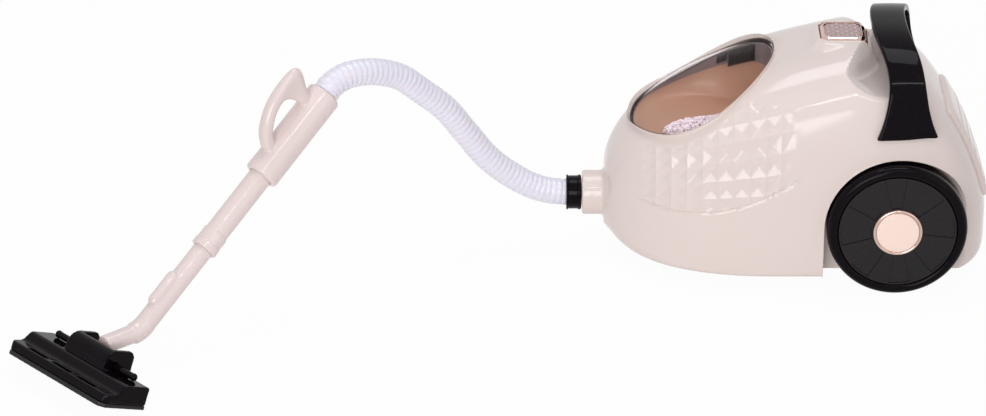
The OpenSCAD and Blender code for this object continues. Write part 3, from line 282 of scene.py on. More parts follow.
@dataclass(frozen=True)
class Plastic:
    """A moulded plastic finish."""

    name: str
    colour: tuple[int, int, int]
    roughness: float
    slot: Slot
    coat: float = 0.0
    mottle: float = 0.1
    peel: float = 0.02
    peel_scale: float = 300.0
    dust: float = 0.0
    metallic: float = 0.0
    specular: float = 0.5
    subsurface: float = 0.0

    def material(self) -> bpy.types.Material:
        """The finish as a Blender material, made on first use.

        Returns:
            The material.
        """
        if self.name in MADE:
            return MADE[self.name]
        mat = bpy.data.materials.new(self.name)
        mat.use_nodes = True
        tree = mat.node_tree
        shader = tree.nodes["Principled BSDF"]
        skin = tree.nodes.new("ShaderNodeGroup")
        skin.node_tree = ShaderGroups.moulded_skin()
        skin.inputs["Colour"].default_value = linear(self.colour)
        skin.inputs["Roughness"].default_value = self.roughness
        skin.inputs["Mottle"].default_value = self.mottle
        skin.inputs["Peel Scale"].default_value = self.peel_scale
        skin.inputs["Dust"].default_value = self.dust
        bump = tree.nodes.new("ShaderNodeBump")
        bump.inputs["Strength"].default_value = self.peel
        bump.inputs["Distance"].default_value = 0.001
        tree.links.new(skin.outputs["Height"], bump.inputs["Height"])
        tree.links.new(skin.outputs["Colour"], shader.inputs["Base Color"])
        tree.links.new(skin.outputs["Roughness"], shader.inputs["Roughness"])
        tree.links.new(bump.outputs["Normal"], shader.inputs["Normal"])
        shader.inputs["Metallic"].default_value = self.metallic
        shader.inputs["Coat Weight"].default_value = self.coat
        shader.inputs["Coat Roughness"].default_value = 0.04
        shader.inputs["Specular IOR Level"].default_value = self.specular
        if self.subsurface:
            shader.inputs["Subsurface Weight"].default_value = self.subsurface
            shader.inputs["Subsurface Radius"].default_value = (0.004, 0.003, 0.0025)
            shader.inputs["Subsurface Scale"].default_value = 1.0
        mat.diffuse_color = linear(self.colour)
        MADE[self.name] = mat
        return mat


@dataclass(frozen=True)
class Plated:
    """A plated or bare metal finish with turning rings round an axis."""

    name: str
    colour: tuple[int, int, int]
    roughness: float
    slot: Slot
    rings: float = 0.0
    centre: tuple[float, float, float] = (0.0, 0.0, 0.0)

    def material(self) -> bpy.types.Material:
        """The finish as a Blender material, made on first use.

        Returns:
            The material.
        """
        if self.name in MADE:
            return MADE[self.name]
        mat = bpy.data.materials.new(self.name)
        mat.use_nodes = True
        tree = mat.node_tree
        shader = tree.nodes["Principled BSDF"]
        shader.inputs["Base Color"].default_value = linear(self.colour)
        shader.inputs["Metallic"].default_value = 1.0
        spun = tree.nodes.new("ShaderNodeGroup")
        spun.node_tree = ShaderGroups.spun_metal()
        spun.inputs["Centre"].default_value = tuple(to_part(self.centre))
        spun.inputs["Roughness"].default_value = self.roughness
        tree.links.new(spun.outputs["Roughness"], shader.inputs["Roughness"])
        if self.rings:
            bump = tree.nodes.new("ShaderNodeBump")
            bump.inputs["Strength"].default_value = self.rings
            bump.inputs["Distance"].default_value = 0.0004
            tree.links.new(spun.outputs["Height"], bump.inputs["Height"])
            tree.links.new(bump.outputs["Normal"], shader.inputs["Normal"])
        mat.diffuse_color = linear(self.colour)
        MADE[self.name] = mat
        return mat


@dataclass(frozen=True)
class Smoked:
    """Clear smoked plastic that lets lamps through to what lies behind it."""

    name: str
    colour: tuple[int, int, int]
    slot: Slot = Slot.SMOKED

    def material(self) -> bpy.types.Material:
        """The finish as a Blender material, made on first use.

        Returns:
            The material.
        """
        if self.name in MADE:
            return MADE[self.name]
        mat = bpy.data.materials.new(self.name)
        mat.use_nodes = True
        tree = mat.node_tree
        shader = tree.nodes["Principled BSDF"]
        shader.inputs["Base Color"].default_value = linear(self.colour)
        shader.inputs["Roughness"].default_value = 0.02
        shader.inputs["IOR"].default_value = 1.04
        shader.inputs["Transmission Weight"].default_value = 1.0
        clear = tree.nodes.new("ShaderNodeBsdfTransparent")
        clear.inputs["Color"].default_value = linear(self.colour)
        path = tree.nodes.new("ShaderNodeLightPath")
        mix = tree.nodes.new("ShaderNodeMixShader")
        tree.links.new(path.outputs["Is Shadow Ray"], mix.inputs[0])
        tree.links.new(shader.outputs[0], mix.inputs[1])
        tree.links.new(clear.outputs[0], mix.inputs[2])
        tree.links.new(mix.outputs[0], tree.nodes["Material Output"].inputs["Surface"])
        mat.diffuse_color = linear(self.colour)
        MADE[self.name] = mat
        return mat


WHEEL_CENTRE = (0.0, 0.0, 44.0)
CREAM = Plastic("cream_gloss", (226, 213, 208), 0.1, Slot.CREAM, mottle=0.1, peel=0.012,
                peel_scale=210.0, dust=0.05, specular=0.36)
CREAM_SATIN = Plastic("cream_wand", (228, 213, 210), 0.12, Slot.CREAM, mottle=0.12, peel=0.02,
                      peel_scale=320.0, dust=0.05, specular=0.5)
BLACK = Plastic("gloss_black", (12, 6, 11), 0.08, Slot.BLACK_GLOSS, mottle=0.08, peel=0.012,
                peel_scale=260.0, dust=0.05, specular=0.07)
BLACK_SATIN = Plastic("satin_black", (24, 21, 23), 0.36, Slot.BLACK_SATIN, mottle=0.2, peel=0.06,
                      peel_scale=1500.0, dust=0.07, specular=0.24)
HOSE_WHITE = Plastic("white_hose", (230, 228, 240), 0.25, Slot.HOSE, mottle=0.06, peel=0.03,
                     peel_scale=500.0, subsurface=0.35)
TRAY_TAN = Plastic("tray_plastic", (168, 133, 110), 0.4, Slot.TRAY, mottle=0.2, peel=0.05, peel_scale=400.0)
# Painted shade: a grey for the top band of the tub's wall, where the shell's rim shades it.
RIM_SHADE_GREY = Plastic("rim_shade_grey", (112, 101, 102), 0.35, Slot.TRAY, mottle=0.2, peel=0.05,
                      peel_scale=400.0)
BEAD_WHITE = Plastic("foam_bead", (228, 221, 228), 0.6, Slot.BEAD, mottle=0.1, peel=0.3, peel_scale=2500.0)
# Dark seal colour, partly painted shadow: it also stands for the shade in the gap round the window's pane.
DARK_SEAL_AND_GAP_SHADOW = Plastic("dark_seal_and_gap_shadow", (46, 34, 32), 0.45, Slot.SEAL, mottle=0.2, peel=0.1, peel_scale=1200.0)
INNER_GREY = Plastic("inner_grey", (158, 156, 153), 0.5, Slot.INNER, mottle=0.2, peel=0.1, peel_scale=600.0)
CELL_SLEEVE = Plastic("cell_sleeve", (140, 115, 64), 0.3, Slot.BATTERY, mottle=0.2, peel=0.02,
                      peel_scale=300.0, metallic=0.5)
QUILT_PINK = Plastic("quilt_pink", (172, 151, 150), 0.25, Slot.ROSE_GOLD, mottle=0.15, peel=0.05,
                     peel_scale=900.0, metallic=0.55)
ROSE_MIRROR = Plated("rose_mirror", (206, 178, 168), 0.08, Slot.ROSE_GOLD, rings=0.04, centre=WHEEL_CENTRE)
ROSE_FACE = Plastic("rose_face", (248, 224, 213), 0.3, Slot.ROSE_GOLD, mottle=0.1, peel=0.05,
                    peel_scale=700.0, metallic=0.25)
STEEL = Plated("bright_steel", (196, 196, 200), 0.25, Slot.STEEL)
SMOKED = Smoked("smoked_window", (234, 229, 229))

NODE_FINISH = {
    Slot.CREAM: CREAM, Slot.SEAL: DARK_SEAL_AND_GAP_SHADOW, Slot.TRAY: TRAY_TAN, Slot.BEAD: BEAD_WHITE,
    Slot.BLACK_GLOSS: BLACK, Slot.BLACK_SATIN: BLACK_SATIN, Slot.ROSE_GOLD: ROSE_MIRROR,
    Slot.STEEL: STEEL, Slot.INNER: INNER_GREY, Slot.BATTERY: CELL_SLEEVE, Slot.HOSE: HOSE_WHITE,
    Slot.SMOKED: SMOKED,
}


# Meshes

class Patch:
    """Points in millimetres and the faces between them, gathered into one mesh."""

    def __init__(self) -> None:
        """Starts with no points."""
        self.points: list[np.ndarray] = []
        self.faces: list[tuple[int, ...]] = []
        self.kinds: list[int] = []
        self.count = 0

    def add(self, points: np.ndarray, faces: Sequence[Sequence[int]], kind: int = 0) -> int:
        """Adds points and faces that count from the first of them.

        Args:
            points: Places in millimetres.
            faces: Point numbers of each face.
            kind: Number of the material.

        Returns:
            The number of the first new point.
        """
        start = self.count
        flat = np.asarray(points, float).reshape(-1, 3)
        self.points.append(flat)
        self.faces.extend(tuple(int(k) + start for k in f) for f in faces)
        self.kinds.extend([kind] * len(faces))
        self.count += len(flat)
        return start

    def link(self, faces: Sequence[Sequence[int]], kind: int = 0) -> None:
        """Adds faces between points that are already there."""
        self.faces.extend(tuple(int(k) for k in f) for f in faces)
        self.kinds.extend([kind] * len(faces))

    def grid(self, rows: np.ndarray, wrap: bool = False, caps: bool = False, kind: int = 0) -> int:
        """Adds a sheet of quads over rows of points.

        Args:
            rows: Places, as rows by points by three.
            wrap: Joins the last point of a row to its first.
            caps: Closes the first and last row with one face each.
            kind: Number of the material.

        Returns:
            The number of the first new point.
        """
        n, m = rows.shape[:2]
        last = m if wrap else m - 1
        faces = [(i * m + j, i * m + (j + 1) % m, (i + 1) * m + (j + 1) % m, (i + 1) * m + j)
                 for i in range(n - 1) for j in range(last)]
        if caps:
            faces.append(tuple(range(m - 1, -1, -1)))
            faces.append(tuple((n - 1) * m + j for j in range(m)))
        return self.add(rows, faces, kind)

    def build(self, name: str, crease: float = 40.0, outward: bool = True,
              fine: Optional[Field] = None, fine_angle: float = 4.0) -> bpy.types.Object:
        """Makes the object.

        Args:
            name: The piece's name.
            crease: Angle in degrees from which an edge is drawn sharp.
            outward: Turns all faces outward.
            fine: Over 0 where edges are sharp from fine_angle on.
            fine_angle: That angle in degrees.

        Returns:
            The new object, in the scene.
        """
        mesh = bpy.data.meshes.new(name)
        mesh.from_pydata(to_part(np.concatenate(self.points)).tolist(), [], self.faces)
        for face, kind in zip(mesh.polygons, self.kinds):
            face.material_index = kind
        work = bmesh.new()
        work.from_mesh(mesh)
        bmesh.ops.remove_doubles(work, verts=work.verts, dist=2e-6)
        bmesh.ops.dissolve_degenerate(work, edges=work.edges, dist=1e-7)
        if outward:
            bmesh.ops.recalc_face_normals(work, faces=work.faces)
        for face in work.faces:
            face.smooth = True
        edges = [e for e in work.edges if len(e.link_faces) == 2]
        limit = np.full(len(edges), math.radians(crease))
        if fine is not None and edges:
            middle = np.array([(e.verts[0].co + e.verts[1].co) / 2 for e in edges]) / MM - AXLE_PLACE
            limit[fine(middle) > 0] = math.radians(fine_angle)
        for edge, most in zip(edges, limit):
            edge.smooth = bool(edge.calc_face_angle(0.0) < most)
        work.to_mesh(mesh)
        work.free()
        obj = bpy.data.objects.new(name, mesh)
        bpy.context.scene.collection.objects.link(obj)
        return obj


def dress(obj: bpy.types.Object, finishes: Sequence, body: Body, *nodes: str) -> bpy.types.Object:
    """Gives a piece its finishes and its body, and hides the nodes it stands for.

    Args:
        obj: The piece.
        finishes: One finish for each material number.
        body: The body that it rides on.
        nodes: CAD nodes that it replaces.

    Returns:
        The same piece.
    """
    if obj.data.materials:
        obj.data.materials.clear()
    for finish in finishes:
        obj.data.materials.append(finish.material())
    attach(obj, body.value)
    if nodes:
        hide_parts(*nodes)
    LOG.info("%s: %d faces on %s", obj.name, len(obj.data.polygons), body.value)
    return obj


def lathe(patch: Patch, outline: Sequence[tuple[float, float]], base: np.ndarray, axis: np.ndarray,
          side: np.ndarray, steps: int = 96, kind: int = 0, caps: bool = False) -> None:
    """Turns an outline round an axis.

    Args:
        patch: The mesh that takes it.
        outline: Pairs of distance along the axis and radius.
        base: Where the axis starts.
        axis: Direction of the axis.
        side: Direction at right angles to it.
        steps: Points round.
        kind: Number of the material.
        caps: Closes both ends.
    """
    third = np.cross(axis, side)
    a = np.linspace(0, 2 * math.pi, steps, endpoint=False)[None, :, None]
    s, r = np.array(outline, float).T
    rows = base + s[:, None, None] * axis + r[:, None, None] * (np.cos(a) * side + np.sin(a) * third)
    patch.grid(rows, wrap=True, caps=caps, kind=kind)


def between(a: np.ndarray, b: np.ndarray, c: np.ndarray, d: np.ndarray, u: np.ndarray) -> np.ndarray:
    """Places from b (u = 0) to c (u = 1) on a smooth curve through four points."""
    return 0.5 * (2 * b + (c - a) * u + (2 * a - 5 * b + 4 * c - d) * u ** 2
                  + (3 * b - a - 3 * c + d) * u ** 3)


def smooth_line(points: Sequence[Sequence[float]], steps: int) -> np.ndarray:
    """A smooth curve through points.

    Args:
        points: The points, of any number of coordinates.
        steps: Pieces between two of them.

    Returns:
        The points of the curve.
    """
    q = np.asarray(points, float)
    q = np.concatenate([2 * q[:1] - q[1:2], q, 2 * q[-1:] - q[-2:-1]])
    u = np.linspace(0, 1, steps, endpoint=False)[:, None]
    rows = [between(a, b, c, d, u) for a, b, c, d in zip(q, q[1:], q[2:], q[3:])]
    return np.concatenate(rows + [q[-2:-1]])


def arc(cx: float, cy: float, rx: float, ry: float, start: float, end: float, steps: int) -> list[Pair]:
    """Points of an oval arc from start to end, in degrees."""
    return [(cx + rx * math.cos(math.radians(a)), cy + ry * math.sin(math.radians(a)))
            for a in np.linspace(start, end, steps)]


def melted_copy(node: str, voxel: float, passes: int, name: str) -> bpy.types.Object:
    """A copy of a CAD node as one fine skin with every edge softly rounded.

    Args:
        node: The CAD node.
        voxel: Cell size in millimetres.
        passes: Smoothing passes.
        name: Name of the copy.

    Returns:
        The new object.
    """
    source = bpy.data.objects.new(name + ".raw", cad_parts[node].data.copy())
    bpy.context.scene.collection.objects.link(source)
    return melted(source, voxel, passes, name)


def melted(source: bpy.types.Object, voxel: float, passes: int, name: str) -> bpy.types.Object:
    """Turns closed shells into one fine skin with soft edges, and drops the shells.

    Args:
        source: The object with the shells.
        voxel: Cell size in millimetres.
        passes: Smoothing passes.
        name: Name of the new object.

    Returns:
        The new object.
    """
    remesh = source.modifiers.new("cells", "REMESH")
    remesh.mode = "VOXEL"
    remesh.voxel_size = voxel * MM
    smooth = source.modifiers.new("soften", "SMOOTH")
    smooth.factor = 0.5
    smooth.iterations = passes
    evaluated = source.evaluated_get(bpy.context.evaluated_depsgraph_get())
    mesh = bpy.data.meshes.new_from_object(evaluated)
    mesh.name = name
    bpy.data.objects.remove(source)
    for face in mesh.polygons:
        face.use_smooth = True
    obj = bpy.data.objects.new(name, mesh)
    bpy.context.scene.collection.objects.link(obj)
    return obj


class SkinGrid:
    """A fine sheet of quads that can be cut along lines where a field is zero."""

    def __init__(self, points: np.ndarray) -> None:
        """Keeps the points, as rows by points by three."""
        self.points = points.copy()
        self.fields: dict[str, np.ndarray] = {}

    def normals(self) -> np.ndarray:
        """Unit normals of the sheet, on the side of its faces.

        Returns:
            One vector for each point.
        """
        along = np.gradient(self.points, axis=0)
        across = np.gradient(self.points, axis=1)
        return unit(np.cross(across, along))

    def snap(self, field: Field) -> np.ndarray:
        """Moves the nearest points onto the line where the field is zero.

        Args:
            field: Value over a point's place.

        Returns:
            The field at the moved points, exactly zero on the line.
        """
        p = self.points
        value = field(p)
        best = np.full(value.shape, np.inf)
        target = p.copy()
        for axis in (0, 1):
            low = (slice(None, -1), slice(None)) if axis == 0 else (slice(None), slice(None, -1))
            high = (slice(1, None), slice(None)) if axis == 0 else (slice(None), slice(1, None))
            a, b = p[low], p[high]
            fa, fb = value[low], value[high]
            crossing = fa * fb < 0
            t0, t1 = np.zeros(fa.shape), np.ones(fa.shape)
            for _ in range(14):
                t = (t0 + t1) / 2
                same = field(a + t[..., None] * (b - a)) * fa > 0
                t0, t1 = np.where(same, t, t0), np.where(same, t1, t)
            t = (t0 + t1) / 2
            place = a + t[..., None] * (b - a)
            size = np.linalg.norm(b - a, axis=-1)
            for view, near, far in ((low, t * size, t <= 0.5), (high, (1 - t) * size, t > 0.5)):
                take = crossing & far & (near < best[view])
                if axis == 1:
                    edge = np.zeros(value.shape, bool)
                    edge[:, 0] = edge[:, -1] = True
                    take &= ~edge[view]
                best[view] = np.where(take, near, best[view])
                target[view] = np.where(take[..., None], place, target[view])
        moved = np.isfinite(best)
        self.points[moved] = target[moved]
        value = field(self.points)
        value[moved] = 0.0
        return value

    def cut(self, name: str, field: Field) -> None:
        """Cuts a hole where the field is below zero."""
        self.fields[name] = self.snap(field)

    def faces(self, middle: dict[str, Field]) -> list[tuple[int, ...]]:
        """The quads and triangles that are left.

        Args:
            middle: The field of each hole, for faces whose corners all lie on its line.

        Returns:
            Point numbers of each face.
        """
        n, m = self.points.shape[:2]
        number = np.arange(n * m).reshape(n, m)
        corners = [number[:-1, :-1], number[:-1, 1:], number[1:, 1:], number[1:, :-1]]
        corners = np.stack(corners, -1).reshape(-1, 4)
        flat = self.points.reshape(-1, 3)
        keep = np.ones(len(corners), bool)
        part = np.zeros(len(corners), int)
        for name, value in self.fields.items():
            v = value.reshape(-1)[corners]
            below = v < 0
            keep &= ~((v <= 0).all(1) & below.any(1))
            zero = (v == 0).all(1)
            if zero.any():
                centre = flat[corners[zero]].mean(1)
                keep[np.where(zero)[0]] &= middle[name](centre) > 0
            mixed = keep & below.any(1)
            keep &= below.sum(1) <= 1
            part[mixed] = below[mixed].argmax(1) + 1
        out: list[tuple[int, ...]] = []
        for quad, drop in zip(corners[keep].tolist(), part[keep].tolist()):
            out.append(tuple(quad) if drop == 0 else tuple(quad[:drop - 1] + quad[drop:]))
        return out

    def chains(self, name: str, faces: Sequence[tuple[int, ...]]) -> list[list[int]]:
        """Lines of points round a hole, with the hole on their right.

        Args:
            name: The hole.
            faces: The faces that are left.

        Returns:
            Point numbers of each line; a closed one repeats its first point.
        """
        on_line = (self.fields[name] == 0).reshape(-1)
        used: dict[tuple[int, int], int] = {}
        for face in faces:
            for a, b in zip(face, face[1:] + face[:1]):
                if on_line[a] and on_line[b]:
                    used[(a, b)] = 1
        follow = {a: b for a, b in used if (b, a) not in used}
        starts = set(follow) - set(follow.values())
        lines: list[list[int]] = []
        while follow:
            at = starts.pop() if starts else next(iter(follow))
            line = [at]
            while at in follow:
                at = follow.pop(at)
                line.append(at)
            if len(line) > 3:
                lines.append(line)
        return lines


def rolled_edge(patch: Patch, grid: SkinGrid, line: list[int], first: int, normals: np.ndarray,
                radius: Union[float, np.ndarray], ends: Sequence[RowStep], kind: int = 0) -> np.ndarray:
    """Rolls the sheet over the edge of a hole and adds its wall.

    Args:
        patch: The mesh that holds the sheet.
        grid: The sheet.
        line: Points along the edge.
        first: Number of the sheet's first point in the mesh.
        normals: Normals of the sheet.
        radius: Radius of the roll, one number or one for each point.
        ends: Further rows of the wall, each from the last row and the normals.
        kind: Number of the material.

    Returns:
        The last row of points.
    """
    p = grid.points.reshape(-1, 3)[line]
    n = normals.reshape(-1, 3)[line]
    closed = line[0] == line[-1]
    if closed:
        ahead, back = np.roll(p[:-1], -1, axis=0), np.roll(p[:-1], 1, axis=0)
        along = np.concatenate([ahead - back, (ahead - back)[:1]])
    else:
        along = np.gradient(p, axis=0)
    away = unit(np.cross(unit(along), n))
    r = np.broadcast_to(np.asarray(radius, float), (len(line),))[:, None]
    rows = []
    for a in np.radians(np.linspace(0, 90, 6)[1:]):
        rows.append(p + r * math.sin(a) * away - r * (1 - math.cos(a)) * n)
    for step in ends:
        rows.append(step(rows[-1], n))
    k = len(line)
    before = np.array(line) + first
    for row in rows:
        start = patch.add(row, [])
        here = start + np.arange(k)
        patch.link([(before[i + 1], before[i], here[i], here[i + 1]) for i in range(k - 1)], kind)
        before = here
    return rows[-1]


# Canister

@dataclass
class BodyForm:
    """Formulas of the canister's skin."""

    nose_x: float = -182.0
    tail_x: float = 60.0
    crown_h: float = 147.0
    half_w: float = 70.0
    ground_gap: float = 9.0
    seam_h: float = 33.0
    power: float = 3.2
    tail_power: float = 2.6
    wide_x: float = -78.0

    def profile(self, inward: float) -> tuple[np.ndarray, np.ndarray]:
        """The top line, moved inward, as two rows of x and z.

        Args:
            inward: Distance in millimetres.

        Returns:
            The rows of x and z.
        """
        c = self.crown_h
        front = np.array([(self.nose_x, 52.5), (self.nose_x, c - 45), (-95, c - 14), (-30, c)], float)
        rear = np.array([(-30, c), (5, c + 7.5), (self.tail_x - 14.5, c - 43), (self.tail_x, 44)], float)
        t = np.linspace(0, 1, 200)[:, None]
        lines = []
        for q in (front, rear):
            place = ((1 - t) ** 3 * q[0] + 3 * (1 - t) ** 2 * t * q[1]
                     + 3 * (1 - t) * t * t * q[2] + t ** 3 * q[3])
            slope = (1 - t) ** 2 * (q[1] - q[0]) + 2 * (1 - t) * t * (q[2] - q[1]) + t * t * (q[3] - q[2])
            slope = unit(slope)
            lines.append(place + inward * np.stack([slope[:, 1], -slope[:, 0]], 1))
        line = np.concatenate([lines[0], lines[1][1:]])
        return line[:, 0], line[:, 1]

    def top(self, x: np.ndarray, inward: float = 0.0) -> np.ndarray:
        """Height of the top line over x."""
        px, pz = self.profile(inward)
        return np.interp(x, px, pz)

    def nose_u(self, x: np.ndarray) -> np.ndarray:
        """0 at the widest place, nearly 1 at the nose."""
        return np.maximum(0.0, (self.wide_x - x) / (self.wide_x - self.nose_x + 3))

    def tail_u(self, x: np.ndarray) -> np.ndarray:
        """0 at the axle, nearly 1 at the tail."""
        return np.maximum(0.0, x / (self.tail_x + 1.5))

    def side(self, x: np.ndarray) -> np.ndarray:
        """Half width of the body at x."""
        return (self.half_w * np.sqrt(np.maximum(0, 1 - self.nose_u(x) ** 2))
                * np.maximum(0, 1 - self.tail_u(x) ** self.tail_power) ** (1 / self.tail_power))

    def low(self, x: np.ndarray) -> np.ndarray:
        """Height of the underside at x."""
        return self.ground_gap + 10 * self.nose_u(x) ** 10

    def edge(self, x: np.ndarray) -> np.ndarray:
        """Radius of the lower edge at x."""
        r = 3 + 22 * self.nose_u(x) ** 5 + 8 * self.tail_u(x) ** 6
        return np.maximum(0.6, np.minimum(np.minimum(r, self.side(x) - 1), self.seam_h - self.low(x) - 1))

    def skin_z(self, x: np.ndarray, y: np.ndarray, inward: float = 0.0) -> np.ndarray:
        """Height of the upper skin over a point of the plan."""
        share = np.maximum(0, 1 - np.minimum(1, np.abs(y) / self.side(x)) ** self.power)
        return self.seam_h + (self.top(x, inward) - self.seam_h) * share ** (1 / self.power)

    def flank_y(self, x: np.ndarray, z: np.ndarray) -> np.ndarray:
        """Half width of the upper skin at a height."""
        share = np.clip((z - self.seam_h) / (self.top(x) - self.seam_h), 0, 1)
        return self.side(x) * np.maximum(0, 1 - share ** self.power) ** (1 / self.power)

    def ring_angle(self, s: np.ndarray) -> np.ndarray:
        """Angles in radians that put the points of a ring at even distances.

        Args:
            s: Shares of the ring from 0 to 1.

        Returns:
            The angles.
        """
        e = self.power / 2
        q = np.where(s < 0.5, 2 * s, 2 - 2 * s)
        a = 90 * q ** e / (q ** e + (1 - q) ** e)
        return np.radians(np.where(s < 0.5, a, 180 - a))

    def stations(self) -> np.ndarray:
        """Places of the rings along the body, close at both ends and over the facets.

        Returns:
            The places, from the nose to the tail.
        """
        nose = self.nose_x + 22 * (np.arange(24) / 24) ** 2
        facets = np.linspace(-160, -64, 81)
        tail = -64 + (self.tail_x + 64) * np.sin(np.radians(90 * np.arange(1, 131) / 130))
        return np.concatenate([nose, facets, tail])


@dataclass
class Canister:
    """The two shells of the canister with their facets, trough, openings and wheel wells."""

    form: BodyForm
    ring_steps: int = 224
    cell: int = 8
    facet_rise: float = 0.95
    facet_sink: float = 0.65
    window_x: float = -120.0
    window_a: float = 45.0
    window_b: float = 48.0
    button_x: float = -32.6
    button_hole: float = 29.6
    corner_cut: float = 4.0
    well_y: float = 56.0
    arch_r: float = 45.5
    axle_z: float = 44.0
    seam_gap: float = 0.004
    crown_from: float = 120.0
    plateau_z: float = 147.3
    window_lip: float = 0.35
    button_lip: float = 0.4
    smile_lip: float = 0.85
    screw_r: float = 3.4
    screws: tuple[Pair, ...] = ((-132, 46), (-64, 52), (50, 24))

    def window_gap(self, p: np.ndarray) -> np.ndarray:
        """About the distance outside the window's edge, in plan."""
        reach = np.sqrt(((p[..., 0] - self.window_x) / self.window_a) ** 2 + (p[..., 1] / self.window_b) ** 2)
        return (reach - 1) * 46.5

    def button_gap(self, p: np.ndarray) -> np.ndarray:
        """Distance outside the button's hole, in plan.

        Args:
            p: Places in millimetres, three numbers each.

        Returns:
            The distances.
        """
        x, y = np.abs(p[..., 0] - self.button_x), np.abs(p[..., 1])
        h = self.button_hole / 2
        return np.maximum(np.maximum(x - h, y - h), (x + y - 2 * h + self.corner_cut) / math.sqrt(2))

    def smile(self, p: np.ndarray) -> np.ndarray:
        """Height over the line that ends the facets below."""
        return p[..., 2] - (50 + 0.0045 * (p[..., 0] + 138) ** 2)

    def facet_zone(self, p: np.ndarray) -> np.ndarray:
        """Distance into the field of facets, over 0 inside it.

        Args:
            p: Places in millimetres, three numbers each.

        Returns:
            The distances.
        """
        x, y, z = p[..., 0], np.abs(p[..., 1]), p[..., 2]
        parts = [self.smile(p), 120 - z, self.window_gap(p) - 4.5, x + 160.5, -63.5 - x, y - 22]
        return np.minimum.reduce(parts)

    def well_gap(self, p: np.ndarray) -> np.ndarray:
        """Below 0 inside a wheel well.

        Args:
            p: Places in millimetres, three numbers each.

        Returns:
            The distances.
        """
        x, y, z = p[..., 0], np.abs(p[..., 1]), p[..., 2]
        arch = np.hypot(x, z - self.axle_z) - self.arch_r
        below = np.maximum(np.abs(x) - self.arch_r, z - self.axle_z)
        behind = np.maximum(-x, z - 57)
        return np.maximum(np.minimum(np.minimum(arch, below), behind), self.well_y - y)

    def well_roll(self, y: np.ndarray) -> np.ndarray:
        """Radius of the well's edge at a place across the body."""
        return 0.9 * ease(np.abs(y), self.well_y, self.well_y + 4)

    def well_edge(self, p: np.ndarray) -> np.ndarray:
        """Below 0 where a well and the roll of its edge take the skin away."""
        return self.well_gap(p) - self.well_roll(p[..., 1])

    def trough_z(self, x: np.ndarray, y: np.ndarray) -> np.ndarray:
        """Height of the finger trough, with the button's pad left standing.

        Args:
            x: Places along the body.
            y: Places across it.

        Returns:
            The heights.
        """
        across = 36 ** 2 - (x + 6) ** 2
        groove = np.where(across > 0, 162 - np.sqrt(np.maximum(across, 0)), 162 + np.abs(x + 6) - 36)
        corners = [(-90, -53), (-40, -53), (-36, -45), (-15, -19), (-15, 19), (-36, 45), (-40, 53), (-90, 53)]
        out = np.full(np.shape(x), -1e9)
        for (ax, ay), (bx, by) in zip(corners, corners[1:] + corners[:1]):
            size = math.hypot(bx - ax, by - ay)
            gap = ((by - ay) * (x - ax) - (bx - ax) * (y - ay)) / size
            out = smooth_max(out, gap, 5.0)
        pad = 148 - out * 22 / 6
        return smooth_max(groove, pad, 5.0)

    def screw_gap(self, p: np.ndarray, px: float, py: float) -> np.ndarray:
        """Distance outside a screw's hole in the underside."""
        return np.where(p[..., 2] < 20, np.hypot(p[..., 0] - px, p[..., 1] - py) - self.screw_r, 50.0)

    def facets(self, grid: SkinGrid, first: int) -> None:
        """Turns the field of facets into low pyramids with flat sides.

        Args:
            grid: The sheet, which is changed.
            first: Its first ring of facets.
        """
        grid.snap(self.smile)
        skin = grid.points.copy()
        normals = grid.normals()
        flat = skin.copy()
        half = self.cell // 2
        for bi in range(80 // self.cell):
            for bj in range(self.ring_steps // self.cell):
                i0, j0 = first + bi * self.cell, bj * self.cell
                i1, j1 = i0 + self.cell, j0 + self.cell
                corner = {(a, b): skin[i, j] - self.facet_sink * normals[i, j]
                          for a, i in ((-1, i0), (1, i1)) for b, j in ((-1, j0), (1, j1))}
                mid = (i0 + half, j0 + half)
                tip = skin[mid] + self.facet_rise * normals[mid]
                for i in range(i0, i1 + 1):
                    for j in range(j0, j1 + 1):
                        u, v = (i - mid[0]) / half, (j - mid[1]) / half
                        m = max(abs(u), abs(v))
                        if m == 0:
                            flat[i, j] = tip
                            continue
                        if abs(u) >= abs(v):
                            a, b, t = corner[(np.sign(u), -1)], corner[(np.sign(u), 1)], v / m
                        else:
                            a, b, t = corner[(-1, np.sign(v))], corner[(1, np.sign(v))], u / m
                        flat[i, j] = (1 - m) * tip + m * ((a + b) / 2 + t * (b - a) / 2)
        x = skin[..., 0]
        share = np.clip(self.facet_zone(skin) / 0.6, 0, 1) * ease(x, -163, -150) * ease(-x, 60, 78)
        grid.points = skin + share[..., None] * (flat - skin)

